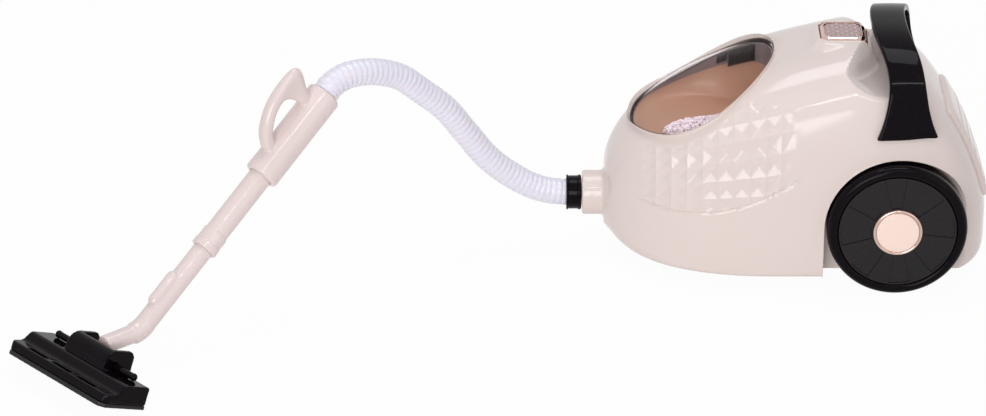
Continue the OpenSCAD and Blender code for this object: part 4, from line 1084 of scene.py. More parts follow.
    def upper(self) -> bpy.types.Object:
        """Builds the upper shell.

        Returns:
            The new object.
        """
        f = self.form
        x = f.stations()
        first = int(np.argmin(np.abs(x + 160)))
        a = f.ring_angle(np.linspace(0, 1, self.ring_steps + 1))
        c, s = np.cos(a), np.abs(np.sin(a))
        y = np.sign(c) * np.abs(c) ** (2 / f.power) * f.side(x)[:, None]
        low = f.seam_h + self.seam_gap
        z = low + s ** (2 / f.power) * (f.top(x) - low)[:, None]
        grid = SkinGrid(np.stack([np.broadcast_to(x[:, None], y.shape), y, z], -1)[:, ::-1])
        self.facets(grid, first)
        normals = grid.normals()
        crown = grid.points[..., 2] > self.crown_from
        lift = self.window_lip * np.exp(-((self.window_gap(grid.points) - 2.2) / 1.9) ** 2)
        lift += self.button_lip * np.exp(-((self.button_gap(grid.points) - 1.9) / 1.7) ** 2) * crown
        line = self.smile(grid.points)
        span = ease(grid.points[..., 0], -168, -156) * ease(-grid.points[..., 0], 54, 66)
        lift += self.smile_lip * span * np.exp(-(line / 0.55) ** 2) * (np.abs(grid.points[..., 1]) > 20)
        grid.points += lift[..., None] * normals
        gap = self.button_gap(grid.points)
        crown = grid.points[..., 2] > self.crown_from
        rise = (1 - ease(gap, 1.0, 7.0)) * np.maximum(0, self.plateau_z - grid.points[..., 2])
        grid.points[..., 2] += rise * crown
        px, py, pz = grid.points[..., 0], grid.points[..., 1], grid.points[..., 2]
        zone = (px > -62) & (px < 36) & (pz > 112)
        grid.points[..., 2] = np.where(zone, smooth_min(pz, self.trough_z(px, py), 3.0), pz)
        fields: dict[str, Field] = {
            "window": lambda p: self.window_gap(p) - 0.8,
            "button": lambda p: np.where(p[..., 2] > self.crown_from, self.button_gap(p) - 0.6, 50.0),
            "well": self.well_edge,
        }
        for name, field in fields.items():
            grid.cut(name, field)
        normals = grid.normals()
        patch = Patch()
        faces = grid.faces(fields)
        start = patch.add(grid.points, faces)
        for line in grid.chains("window", faces):
            rolled_edge(patch, grid, line, start, normals, 0.8, [lambda p, n: p - 2.4 * n])
        for line in grid.chains("button", faces):
            rolled_edge(patch, grid, line, start, normals, 0.6,
                        [lambda p, n: np.stack([p[:, 0], p[:, 1], np.full(len(p), 137.0)], 1)])
        self.wells(patch, grid, faces, start, normals)
        self.ends(patch, grid, start)
        self.lips(patch, grid, start)
        obj = patch.build("canister_upper_shell", outward=False, fine=lambda p: self.facet_zone(p) + 0.4)
        return dress(obj, [CREAM], Body.CANISTER, "upper_shell")

    def wells(self, patch: Patch, grid: SkinGrid, faces: Sequence[tuple[int, ...]], start: int,
              normals: np.ndarray) -> None:
        """Adds the arches and the flat inner walls of the wheel wells.

        Args:
            patch: The mesh that takes them.
            grid: The sheet of the shell.
            faces: The faces that are left.
            start: Number of the sheet's first point.
            normals: Normals of the sheet.
        """
        for line in grid.chains("well", faces):
            p = grid.points.reshape(-1, 3)[line]
            side = np.sign(p[:, 1].mean())
            radius = self.well_roll(p[:, 1])
            inner = rolled_edge(patch, grid, line, start, normals, radius, [
                lambda q, n, side=side: np.stack([q[:, 0], np.full(len(q), side * self.well_y), q[:, 2]], 1)])
            patch.add(inner, [tuple(range(len(inner) - 1, -1, -1))])

    def ends(self, patch: Patch, grid: SkinGrid, start: int) -> None:
        """Closes the flat ends at the nose and the tail.

        Args:
            patch: The mesh that takes them.
            grid: The sheet of the shell.
            start: Number of the sheet's first point.
        """
        n, m = grid.points.shape[:2]
        patch.link([tuple(start + j for j in range(m - 1, -1, -1)),
                    tuple(start + (n - 1) * m + j for j in range(m))])

    def lips(self, patch: Patch, grid: SkinGrid, start: int) -> None:
        """Adds the narrow inward lips along the seam of the two shells.

        Args:
            patch: The mesh that takes them.
            grid: The sheet of the shell.
            start: Number of the sheet's first point.
        """
        n, m = grid.points.shape[:2]
        well = grid.fields["well"]
        for j in (0, m - 1):
            edge = grid.points[:, j]
            inner = edge - np.stack([np.zeros(n), np.sign(edge[:, 1]) * 2.4, np.zeros(n)], 1)
            at = patch.add(inner, [])
            for i in range(n - 1):
                if well[i, j] < 0 or well[i + 1, j] < 0:
                    continue
                quad = (start + i * m + j, start + (i + 1) * m + j, at + i + 1, at + i)
                patch.link([quad if j == 0 else quad[::-1]])

    def lower(self) -> bpy.types.Object:
        """Builds the lower shell.

        Returns:
            The new object.
        """
        f = self.form
        x = f.stations()
        high = f.seam_h - self.seam_gap
        rings = []
        for at in x:
            side, low, r = (float(fn(np.array(at))) for fn in (f.side, f.low, f.edge))
            wall = [(side, z) for z in np.linspace(high, low + r, 14)]
            turn = [(side - r + r * math.cos(a), low + r - r * math.sin(a))
                    for a in np.linspace(0, math.pi / 2, 13)[1:]]
            floor = [(v, low) for v in np.linspace(side - r, 0, 46)[1:]]
            half = wall + turn + floor
            ring = half + [(-v, z) for v, z in half[-2::-1]]
            rings.append([(at, v, z) for v, z in ring])
        grid = SkinGrid(np.array(rings))
        fields: dict[str, Field] = {
            "well": self.well_edge,
            "door": lambda p: np.maximum(np.abs(p[..., 0] + 50) - 33.6, np.abs(p[..., 1]) - 27.6),
            "caster": lambda p: np.hypot(p[..., 0] + 118, p[..., 1]) - 19.4,
        }
        for k, (px, py) in enumerate(self.screws):
            for side in (-1, 1):
                fields[f"screw{k}{side}"] = lambda p, px=px, py=py * side: self.screw_gap(p, px, py)
        for name, field in fields.items():
            grid.cut(name, field)
        normals = grid.normals()
        patch = Patch()
        faces = grid.faces(fields)
        start = patch.add(grid.points, faces)
        for name in fields:
            if name == "well":
                continue
            for line in grid.chains(name, faces):
                rolled_edge(patch, grid, line, start, normals, 0.3, [lambda p, n: p - 2.6 * n])
        self.wells(patch, grid, faces, start, normals)
        self.ends(patch, grid, start)
        self.lips(patch, grid, start)
        obj = patch.build("canister_lower_shell", outward=False)
        return dress(obj, [CREAM], Body.CANISTER, "lower_shell")

    def rear_panel(self) -> bpy.types.Object:
        """Builds the raised panel at the back with its air louvres.

        Returns:
            The new object.
        """
        f = self.form
        t = np.linspace(0, 1, 129)
        k = np.concatenate([np.linspace(-1, -0.9, 10), np.linspace(-0.88, 0.88, 45), np.linspace(0.9, 1, 10)])
        x = 33 + (f.tail_x - 0.4 - 33) * np.sin(np.pi / 2 * t)
        half = np.minimum(29.0, 0.8 * f.side(x))
        y = half[:, None] * k[None, :]
        sides = np.maximum(0, 1 - np.abs(k) ** 22) ** 0.4
        head = np.maximum(0, 1 - (1 - t) ** 60) ** 0.4
        rise = 2.9 * sides[None, :] * head[:, None]
        phase = t * 16
        row = np.floor(phase / 2)
        groove = np.exp(-((phase - 2 * row - 1) / 0.36) ** 4) * ((phase > 2) & (phase < 14))
        rise = rise - 0.9 * groove[:, None] * ease(0.86 - np.abs(k), 0.0, 0.03)[None, :]
        xx = np.broadcast_to(x[:, None], y.shape)
        base = np.stack([xx, y, f.skin_z(xx, y)], -1)
        grid = SkinGrid(base)
        normals = grid.normals()
        normals *= np.sign(normals[..., 2:3] + 1e-6)
        outer = base + rise[..., None] * normals
        outer[..., 0] = np.minimum(outer[..., 0], f.tail_x + 2.4)
        patch = Patch()
        patch.grid(outer)
        obj = patch.build("rear_air_panel", crease=35, outward=False)
        return dress(obj, [CREAM], Body.CANISTER, "rear_panel")


@dataclass
class Window:
    """The smoked window, its seal, and the tray of beads behind it."""

    form: BodyForm
    x: float = -120.0
    a: float = 44.75
    b: float = 47.75
    thick: float = 2.4
    bead_r: float = 1.1
    beads: int = 700
    heap_at: Pair = (-116.0, -20.5)
    heap_half: Pair = (29.0, 14.0)
    heap_low: float = 8.5
    heap_more: float = 4.0
    floor_z: float = 85.7
    steps: int = 128

    def pane(self) -> bpy.types.Object:
        """Builds the curved pane.

        Returns:
            The new object.
        """
        rows = []
        rings = np.concatenate([np.linspace(0.02, 0.9, 18), np.linspace(0.92, 1.0, 6)])
        ang = np.linspace(0, 2 * math.pi, self.steps, endpoint=False)
        outline = [(r, 0.0) for r in rings] + [(1.0, 0.5), (1.0, 1.0)] + [(r, 1.0) for r in rings[::-1]]
        for r, depth in outline:
            px, py = self.x + self.a * r * np.cos(ang), self.b * r * np.sin(ang)
            drop = depth * self.thick + 0.2 * max(0.0, (r - 0.97) / 0.03) ** 2 * (1 - 2 * depth)
            rows.append(np.stack([px, py, self.form.skin_z(px, py) - drop], 1))
        patch = Patch()
        patch.grid(np.array(rows), wrap=True, caps=True)
        return dress(patch.build("smoked_window", crease=60), [SMOKED], Body.CANISTER, "window")

    def seal(self) -> bpy.types.Object:
        """Builds the thin dark ring between the pane and the shell, whose dark colour also paints the shadow
        in the gap there.

        Returns:
            The new object.
        """
        ang = np.linspace(0, 2 * math.pi, 160, endpoint=False)
        rows = []
        section = ((0.05, self.thick), (0.05, 0.3), (0.2, 0.12), (0.45, 0.1), (0.65, 0.3), (0.65, self.thick))
        for grow, drop in section:
            px, py = self.x + (self.a + grow) * np.cos(ang), (self.b + grow) * np.sin(ang)
            rows.append(np.stack([px, py, self.form.skin_z(px, py) - drop], 1))
        patch = Patch()
        patch.grid(np.array(rows + rows[:1]), wrap=True)
        return dress(patch.build("window_edge_seal", crease=60), [DARK_SEAL_AND_GAP_SHADOW], Body.CANISTER, "window_seal")

    def tub(self) -> bpy.types.Object:
        """Builds the tan tub behind the window, with a round foot to its walls.

        Returns:
            The new object.
        """
        n, floor = self.steps, self.floor_z
        ang = np.linspace(0, 2 * math.pi, n, endpoint=False)
        bend = np.linspace(0.0, 1.0, 16) * math.pi / 2
        sheet = [(r, 0.0) for r in np.linspace(0.02, 0.8, 8)]
        sheet += [(0.8 + 0.17 * math.sin(t) ** 0.8, 1 - math.cos(t)) for t in bend]
        rows = []
        for skin_drop, low, shrink in ((self.thick + 0.5, floor, 0.0), (self.thick + 0.6, floor - 1.5, 1.4)):
            out = []
            for r, share in sheet:
                px = self.x + (self.a * r + shrink * (r > 0.1)) * np.cos(ang)
                py = (self.b * r + shrink * (r > 0.1)) * np.sin(ang)
                top = self.form.skin_z(px, py) - skin_drop
                out.append(np.stack([px, py, low + share * (top - low)], 1))
            rows += out if not rows else out[::-1]
        patch = Patch()
        patch.grid(np.array(rows), wrap=True, caps=True)
        # The top band of the wall takes the second finish, a grey that paints the shade under the shell's
        # rim.
        patch.kinds[20 * n:24 * n] = [1] * (4 * n)
        self.grille(patch, (-109.0, 37.5), (-103.0, 35.5), 6.0)
        self.grille(patch, (-102.0, 35.2), (-85.5, 27.0), 11.0)
        finishes = [TRAY_TAN, RIM_SHADE_GREY, BLACK_SATIN]
        return dress(patch.build("bead_tub", crease=60), finishes, Body.CANISTER, "bead_tray")

    def grille(self, patch: Patch, left: Pair, right: Pair, tall: float) -> None:
        """Adds a slatted air intake that hangs on the far wall of the tub.

        Args:
            patch: The mesh that takes it.
            left: Its left end in plan.
            right: Its right end in plan.
            tall: Its height.
        """
        u, v = np.meshgrid(np.linspace(0, 1, 41), np.linspace(0, 1, 9), indexing="ij")
        px = left[0] + u * (right[0] - left[0])
        py = left[1] + u * (right[1] - left[1])
        edge = ease(np.minimum(np.minimum(u, 1 - u) * 12, np.minimum(v, 1 - v) * 6), 0.0, 1.0)
        slat = 0.5 + 0.5 * np.sin(2 * np.pi * u * math.hypot(right[0] - left[0], right[1] - left[1]) / 3.0)
        proud = edge * (2.2 + 0.7 * slat * edge)
        inward = unit(np.array([right[1] - left[1], left[0] - right[0], 0.0]))
        wall = np.stack([px, py, self.form.skin_z(px, py) - 4.0 - v * tall], -1)
        patch.grid(wall + proud[..., None] * inward, kind=2)
        patch.grid((wall - 1.2 * inward)[::-1], kind=2)

    def heap_point(self, turn: np.ndarray, r: np.ndarray, floor: float, share: float) -> np.ndarray:
        """Places in the heap, which is oval and rises towards the crown.

        Args:
            turn: Angles round the heap's middle in radians.
            r: Distances from its middle, 1 at its edge.
            floor: Height of the tub's floor.
            share: Height as a part of the heap's full height there.

        Returns:
            The places.
        """
        px = self.heap_at[0] + self.heap_half[0] * r * np.cos(turn)
        py = self.heap_at[1] + self.heap_half[1] * r * np.sin(turn)
        tall = self.heap_low + self.heap_more * ease(px, -122.0, -100.0)
        return np.stack([px, py, floor + share * tall], -1)

    def heap(self) -> bpy.types.Object:
        """Builds the heap of small foam beads against the near wall of the tub.

        Returns:
            The new object.
        """
        rng = np.random.default_rng(7)
        floor = self.floor_z + 0.6
        ball = bmesh.new()
        bmesh.ops.create_icosphere(ball, subdivisions=2, radius=1.0)
        shape = np.array([v.co for v in ball.verts])
        faces = [tuple(v.index for v in f.verts) for f in ball.faces]
        ball.free()
        patch = Patch()
        mound = [(math.sin(t), math.cos(t)) for t in np.linspace(0.2, 1.4, 8)]
        mound = [(0.0, 0.98)] + mound + [(0.98, 0.02)]
        a = np.linspace(0, 2 * math.pi, 40, endpoint=False)
        rows = [self.heap_point(a, np.full(40, r), floor, h * 0.92) for h, r in mound]
        patch.grid(np.array(rows), wrap=True, caps=True)
        for _ in range(self.beads):
            turn, r = rng.uniform(0, 2 * math.pi), math.sqrt(rng.uniform(0, 1))
            size = self.bead_r * rng.uniform(0.75, 1.2)
            place = self.heap_point(np.array([turn]), np.array([r]), floor, math.sqrt(max(0.0, 1 - r * r)))[0]
            place[2] = max(floor + size, place[2] + rng.uniform(-0.6, 0.9))
            patch.add(shape * size + place, faces)
        return dress(patch.build("bead_heap", crease=180), [BEAD_WHITE], Body.CANISTER, "beads")


@dataclass
class Strap:
    """The carry handle that arches over the trough."""

    form: BodyForm
    foot_z: float = 103.93
    top_z: float = 157.0
    thick: float = 4.5
    y: float = 60.0
    power: float = 2.6
    width: float = 22.0
    foot_width: float = 38.0
    steps: int = 120

    def points(self, x: np.ndarray, a: np.ndarray, out: np.ndarray) -> np.ndarray:
        """Places on the strap.

        Args:
            x: Places along the body.
            a: Angles along the arch in radians.
            out: Distances outside the strap's inner face.

        Returns:
            The places, with three numbers each.
        """
        rise = self.top_z - self.thick - self.foot_z
        c, s = np.cos(a), np.maximum(np.sin(a), 0)
        y0 = self.y * np.abs(c) ** (2 / self.power)
        z0 = self.foot_z + rise * s ** (2 / self.power)
        y1 = smooth_max(y0, self.form.flank_y(x, z0) + 0.3, 1.5)
        vy = (y0 / self.y) ** (self.power - 1) / self.y
        vz = ((z0 - self.foot_z) / rise) ** (self.power - 1) / rise
        size = np.hypot(vy, vz)
        return np.stack([x, np.sign(c) * (y1 + out * vy / size), z0 + out * vz / size], -1)

    def build(self) -> bpy.types.Object:
        """Builds the strap.

        Returns:
            The new object.
        """
        rise = self.top_z - self.thick - self.foot_z
        s = np.linspace(0, 1, self.steps + 1)
        e = self.power / 2
        h = np.where(s < 0.5, 2 * s, 2 - 2 * s)
        q = 90 * h ** e / (h ** e + (1 - h) ** e)
        a = np.radians(np.where(s < 0.5, q, 180 - q))
        z = self.foot_z + rise * np.maximum(np.sin(a), 0) ** (2 / self.power)
        share = np.maximum(0, 1 - (z - self.foot_z) / (0.8 * rise)) ** 2.3
        half = (self.width + (self.foot_width - self.width) * share) / 2
        mid = 4.5 - 8.5 * np.maximum(0, (z - self.foot_z) / rise) ** 6
        t, big, small = self.thick, 1.5, 0.6
        corner = (arc(-small, small, small, small, -90, 0, 5) + arc(-big, t - big, big, big, 0, 90, 8))
        section = [(1.0, dx, out) for dx, out in corner]
        section += [(k, 0.0, t) for k in np.linspace(0.7, -0.7, 9)]
        section += [(-1.0, -dx, out) for dx, out in corner[::-1]]
        section += [(k, 0.0, 0.0) for k in np.linspace(-0.7, 0.7, 5)]
        fx, dx, out = np.array(section).T
        x = mid[:, None] + fx * half[:, None] + dx
        crown = out - 0.3 * (out / t) ** 4 * ((x - mid[:, None]) / half[:, None]) ** 2
        rows = self.points(x, np.broadcast_to(a[:, None], x.shape), crown)
        ends = []
        for row, step in ((rows[0], rows[0] - rows[1]), (rows[-1], rows[-1] - rows[-2])):
            centre = row.mean(0)
            down = unit(step.mean(0))
            ends.append([centre + (row - centre) * np.array([1 - k * 0.03, 1 - k * 0.2, 1]) + down * d
                         for k, d in ((0.5, 0.25), (1.4, 0.4))])
        rows = np.concatenate([np.array(ends[0][::-1]), rows, np.array(ends[1])])
        patch = Patch()
        patch.grid(rows, wrap=True, caps=True)
        return dress(patch.build("carry_strap", crease=50), [BLACK], Body.CANISTER, "carry_handle")


@dataclass
class Button:
    """The plated power button with its quilted inset."""

    x: float = -32.6
    width: float = 29.0
    low: float = 138.0
    top: float = 149.0
    inset: float = 11.6

    def outline(self, half: float, r: float, steps: int = 14) -> np.ndarray:
        """Points of a rounded square round the button's middle.

        Args:
            half: Half its width.
            r: Radius of its corners.
            steps: Points in each corner.

        Returns:
            The points in plan.
        """
        pts = []
        for k in range(4):
            a0 = 90 * k
            cx = (half - r) * (1 if k in (0, 3) else -1)
            cy = (half - r) * (1 if k in (0, 1) else -1)
            pts += arc(cx, cy, r, r, a0, a0 + 90, steps)
        return np.array(pts)

    def build(self) -> None:
        """Builds the bezel and its inset."""
        h = self.width / 2 - 0.1
        steps = [(h, 7.0, self.low), (h, 7.0, self.top - 2.0), (h - 0.2, 6.9, self.top - 1.6),
                 (h - 1.9, 5.8, self.top - 0.3), (h - 2.3, 5.5, self.top - 0.1),
                 (h - 2.7, 5.2, self.top - 0.15), (self.inset, 4.8, self.top - 0.75)]
        patch = Patch()
        rows = []
        for half, r, z in steps:
            flat = self.outline(half, r)
            rows.append(np.stack([self.x + flat[:, 0], flat[:, 1], np.full(len(flat), z)], 1))
        patch.grid(np.array(rows), wrap=True)
        bezel = patch.build("button_bezel", crease=30)
        dress(bezel, [ROSE_MIRROR], Body.BUTTON, "power_button")
        k = np.linspace(-1, 1, 97)
        u, v = np.meshgrid(k, k, indexing="ij")
        grow = np.maximum(np.abs(u), np.abs(v)) / np.maximum(np.hypot(u, v), 1e-6)
        soft = 1 - 0.16 * (np.minimum(np.abs(u), np.abs(v)) ** 4)
        px, py = u * self.inset * soft, v * self.inset * soft
        pitch = 5.8
        pillow = np.abs(np.sin(np.pi * (px + py) / pitch) * np.sin(np.pi * (px - py) / pitch)) ** 0.55
        edge = ease(1 - np.maximum(np.abs(u), np.abs(v)), 0.0, 0.08)
        z = self.top - 0.75 + 0.7 * pillow * edge * np.minimum(grow * 2, 1)
        patch = Patch()
        patch.grid(np.stack([self.x + px, py, z], -1))
        dress(patch.build("button_quilt", crease=60), [QUILT_PINK], Body.BUTTON)


@dataclass
class Wheel:
    """One rear wheel: rim, sectored disc and plated hub cap."""

    side: int
    inner_y: float = 57.5
    width: float = 18.5
    radius: float = 44.0
    axle_z: float = 44.0
    disc_r: float = 36.9
    sectors: int = 16
    turn: float = -7.0
    cut: float = 0.6

    def place(self) -> tuple[np.ndarray, np.ndarray, np.ndarray]:
        """Start, axis and side direction of the wheel."""
        return (np.array([0, self.side * self.inner_y, self.axle_z]), np.array([0, float(self.side), 0]),
                np.array([1.0, 0, 0]))

    def build(self) -> None:
        """Builds the three pieces."""
        name = "left" if self.side < 0 else "right"
        body = Body.WHEEL_LEFT if self.side < 0 else Body.WHEEL_RIGHT
        base, axis, ahead = self.place()
        w, r = self.width, self.radius
        outline = [(0.0, 6.5), (7.0, 7.0), (7.0, r - 12), (0.8, r - 8), (0.0, r - 3.2)]
        outline += [(z, q) for q, z in arc(r - 3.2, 3.2, 3.2, 3.2, -90, 0, 10)]
        outline += [(z, q) for q, z in arc(r - 4.0, w - 4.6, 4.0, 4.6, 0, 90, 18)]
        outline += [(z, q) for q, z in arc(r - 4.0, w - 2.2, 2.9, 2.2, 90, 180, 12)][1:]
        outline += [(w - 3.2, r - 6.9), (w - 3.2, 8.0)]
        patch = Patch()
        lathe(patch, outline, base, axis, ahead, 160)
        dress(patch.build(f"wheel_{name}_bead_rim", crease=50), [BLACK], body, f"wheel_{name}_rim")
        self.disc(name, body)
        cap = [(w - 0.7, 15.6), (w - 0.4, 15.6)]
        cap += [(z, q) for q, z in arc(14.5, w - 0.1, 1.1, 1.3, 8, 160, 22)]
        face = [(w + 0.35, 13.45), (w + 0.7, 13.4), (w + 1.1, 13.1), (w + 1.2, 12.6)]
        face += [(w + 1.3, 9.0), (w + 1.3, 0.02)]
        patch = Patch()
        lathe(patch, cap, base, axis, ahead, 128)
        lathe(patch, face, base, axis, ahead, 128, kind=1)
        hub = patch.build(f"wheel_{name}_hub", crease=18)
        dress(hub, [ROSE_MIRROR, ROSE_FACE], body, f"wheel_{name}_cap")

    def disc(self, name: str, body: Body) -> None:
        """Builds the disc with every other sector a little lower.

        Args:
            name: Side of the wheel.
            body: The body that it rides on.
        """
        base, axis, ahead = self.place()
        third = np.cross(axis, ahead)
        top = self.width - 0.45
        pitch = 360 / self.sectors
        angles, deep = [], []
        for k in range(self.sectors):
            for a in np.concatenate([[0.12], np.linspace(0.6, pitch - 0.6, 8), [pitch - 0.12]]):
                angles.append(self.turn + k * pitch + a)
                deep.append(self.cut if k % 2 == 0 else 0.0)
        radii = [8.0, 10.0, 16.2, 16.4, 20, 26, 32, 35.4, 35.6, self.disc_r - 0.3, self.disc_r, self.disc_r]
        a = np.radians(np.array(angles))
        rows = []
        for i, r in enumerate(radii):
            sunk = np.array(deep) * (16.3 < r < 35.5)
            height = top - sunk - (0.25 if i == len(radii) - 2 else 0) - (2.0 if i == len(radii) - 1 else 0)
            spoke = np.cos(a)[:, None] * ahead + np.sin(a)[:, None] * third
            rows.append(base + height[:, None] * axis + r * spoke)
        patch = Patch()
        patch.grid(np.array(rows), wrap=True)
        dress(patch.build(f"wheel_{name}_sector_disc", crease=25), [BLACK_SATIN], body, f"wheel_{name}_disc")


# Hose and wand

@dataclass
class WandLine:
    """Directions of the wand and places along it."""

    pivot: tuple[float, float, float] = (-492.0, -190.0, 17.792)
    turn: float = 42.0
    slope: float = 37.0
    neck_l: float = 33.0
    neck_up: float = 5.0

    def axes(self) -> tuple[np.ndarray, np.ndarray, np.ndarray]:
        """Along the tube, across it, and out of its top.

        Returns:
            The three directions.
        """
        t, s = math.radians(self.turn), math.radians(self.slope)
        along = np.array([math.cos(s) * math.cos(t), math.cos(s) * math.sin(t), math.sin(s)])
        across = np.array([-math.sin(t), math.cos(t), 0.0])
        out = np.array([-math.sin(s) * math.cos(t), -math.sin(s) * math.sin(t), math.cos(s)])
        return along, across, out

    def at(self, s: float) -> np.ndarray:
        """Place on the tube's axis at a distance from the elbow.

        Args:
            s: The distance in millimetres.

        Returns:
            The place.
        """
        t = math.radians(self.turn)
        neck = np.array([self.neck_l * math.cos(t), self.neck_l * math.sin(t), self.neck_up])
        return np.array(self.pivot) + neck + s * self.axes()[0]


@dataclass
class Hose:
    """The ribbed hose between the cuff and the wand, and its fittings on the canister."""

    wand: WandLine
    diameter: float = 17.0
    rib_h: float = 0.6
    ribs: int = 56
    sides: int = 32
    sock: float = 6.7
    top_s: float = 187.0
    inlet_h: float = 35.5
    cuff_x: float = -206.0

    def route(self) -> np.ndarray:
        """Points that the hose follows, from the wand to the cuff.

        Returns:
            The points.
        """
        mid = [(-342, -56.5, 143), (-328, -47, 141), (-312, -36, 133), (-298.5, -28, 120), (-283, -20, 103.5),
               (-269.5, -14, 83.5), (-255.5, -9, 63.5), (-238, -4, 47.5), (-222, -1.5, 38.6)]
        home = np.array([-356.4, -68, 135.3])
        shift = self.wand.at(self.top_s) - home
        n = len(mid)
        middle = [np.array(p, float) + shift * (1 - k / n) ** 2 for k, p in enumerate(mid)]
        top = [self.wand.at(self.top_s + step) for step in (-self.sock, 0.0, 8.0)]
        cuff = [(x, 0, self.inlet_h) for x in (self.cuff_x, self.cuff_x + self.sock)]
        return np.array([*top, *middle, *cuff])

    def line(self, count: int) -> tuple[np.ndarray, float]:
        """Evenly spaced points along the hose and its length.

        Args:
            count: How many points.

        Returns:
            The points and the length.
        """
        q = self.route()
        m = len(q)
        out = []
        for t in np.linspace(0, m - 1, 1200):
            i = min(m - 2, int(t))
            u = t - i
            a, b, c, d = q[max(0, i - 1)], q[i], q[i + 1], q[min(m - 1, i + 2)]
            out.append(between(a, b, c, d, u))
        out = np.array(out)
        run = np.concatenate([[0], np.cumsum(np.linalg.norm(np.diff(out, axis=0), axis=1))])
        even = np.linspace(0, run[-1], count)
        return np.stack([np.interp(even, run, out[:, k]) for k in range(3)], 1), float(run[-1])

    def build(self) -> bpy.types.Object:
        """Returns:
            The new object.
        """
        rings = self.ribs * 9 + 1
        line, length = self.line(rings)
        tangent = unit(np.gradient(line, axis=0))
        first = unit(np.cross(tangent, np.array([0.0, 1.0, 0.0])))
        second = np.cross(tangent, first)
        s = np.linspace(0, length, rings)
        end = self.sock - 0.6
        pitch = (length - 2 * end) / self.ribs
        phase = (s - end) / pitch
        wave = np.abs(np.sin(np.pi * phase)) ** 0.6
        inside = (s > end) & (s < length - end)
        r = self.diameter / 2 - self.rib_h + np.where(inside, self.rib_h * wave, 0.0)
        a = np.linspace(0, 2 * math.pi, self.sides, endpoint=False)[None, :, None]
        rows = line[:, None] + r[:, None, None] * (np.cos(a) * first[:, None] + np.sin(a) * second[:, None])
        patch = Patch()
        patch.grid(rows, wrap=True, caps=True)
        obj = dress(patch.build("ribbed_hose", crease=70), [HOSE_WHITE], Body.HOSE_AND_GRIP, "hose")
        return obj

    def fittings(self) -> None:
        """Builds the spigot on the nose and the black cuff of the hose."""
        base, axis, up = np.array([0.0, 0.0, self.inlet_h]), np.array([1.0, 0, 0]), np.array([0.0, 0, 1.0])
        spigot = [(-195.9, 9.1), (-195.9, 12.6)] + arc(-194.5, 12.8, 1.4, 1.4, 180, 90, 8)
        spigot += [(-190, 14.2), (-184.2, 14.2)] + arc(-184.2, 16.0, 1.9, 1.8, -90, 0, 7)
        spigot += [(-182.2, 16.1), (-179.0, 16.2)]
        patch = Patch()
        lathe(patch, spigot, base, axis, up, 128)
        dress(patch.build("nose_spigot", crease=50), [CREAM], Body.CANISTER, "hose_inlet")
        cuff = [(self.cuff_x, 8.75), (self.cuff_x, 10.6)] + arc(-205.2, 10.6, 0.8, 0.7, 180, 0, 10)
        cuff += [(-203.9, 10.75), (-199.4, 10.75), (-199.0, 10.8)]
        cuff += arc(-197.6, 10.6, 1.2, 0.7, 180, 0, 12) + [(-196.35, 10.5), (-196.35, 6.5)]
        patch = Patch()
        lathe(patch, cuff, base, axis, up, 128)
        dress(patch.build("hose_end_cuff", crease=50), [BLACK], Body.HOSE_AND_GRIP, "hose_cuff")


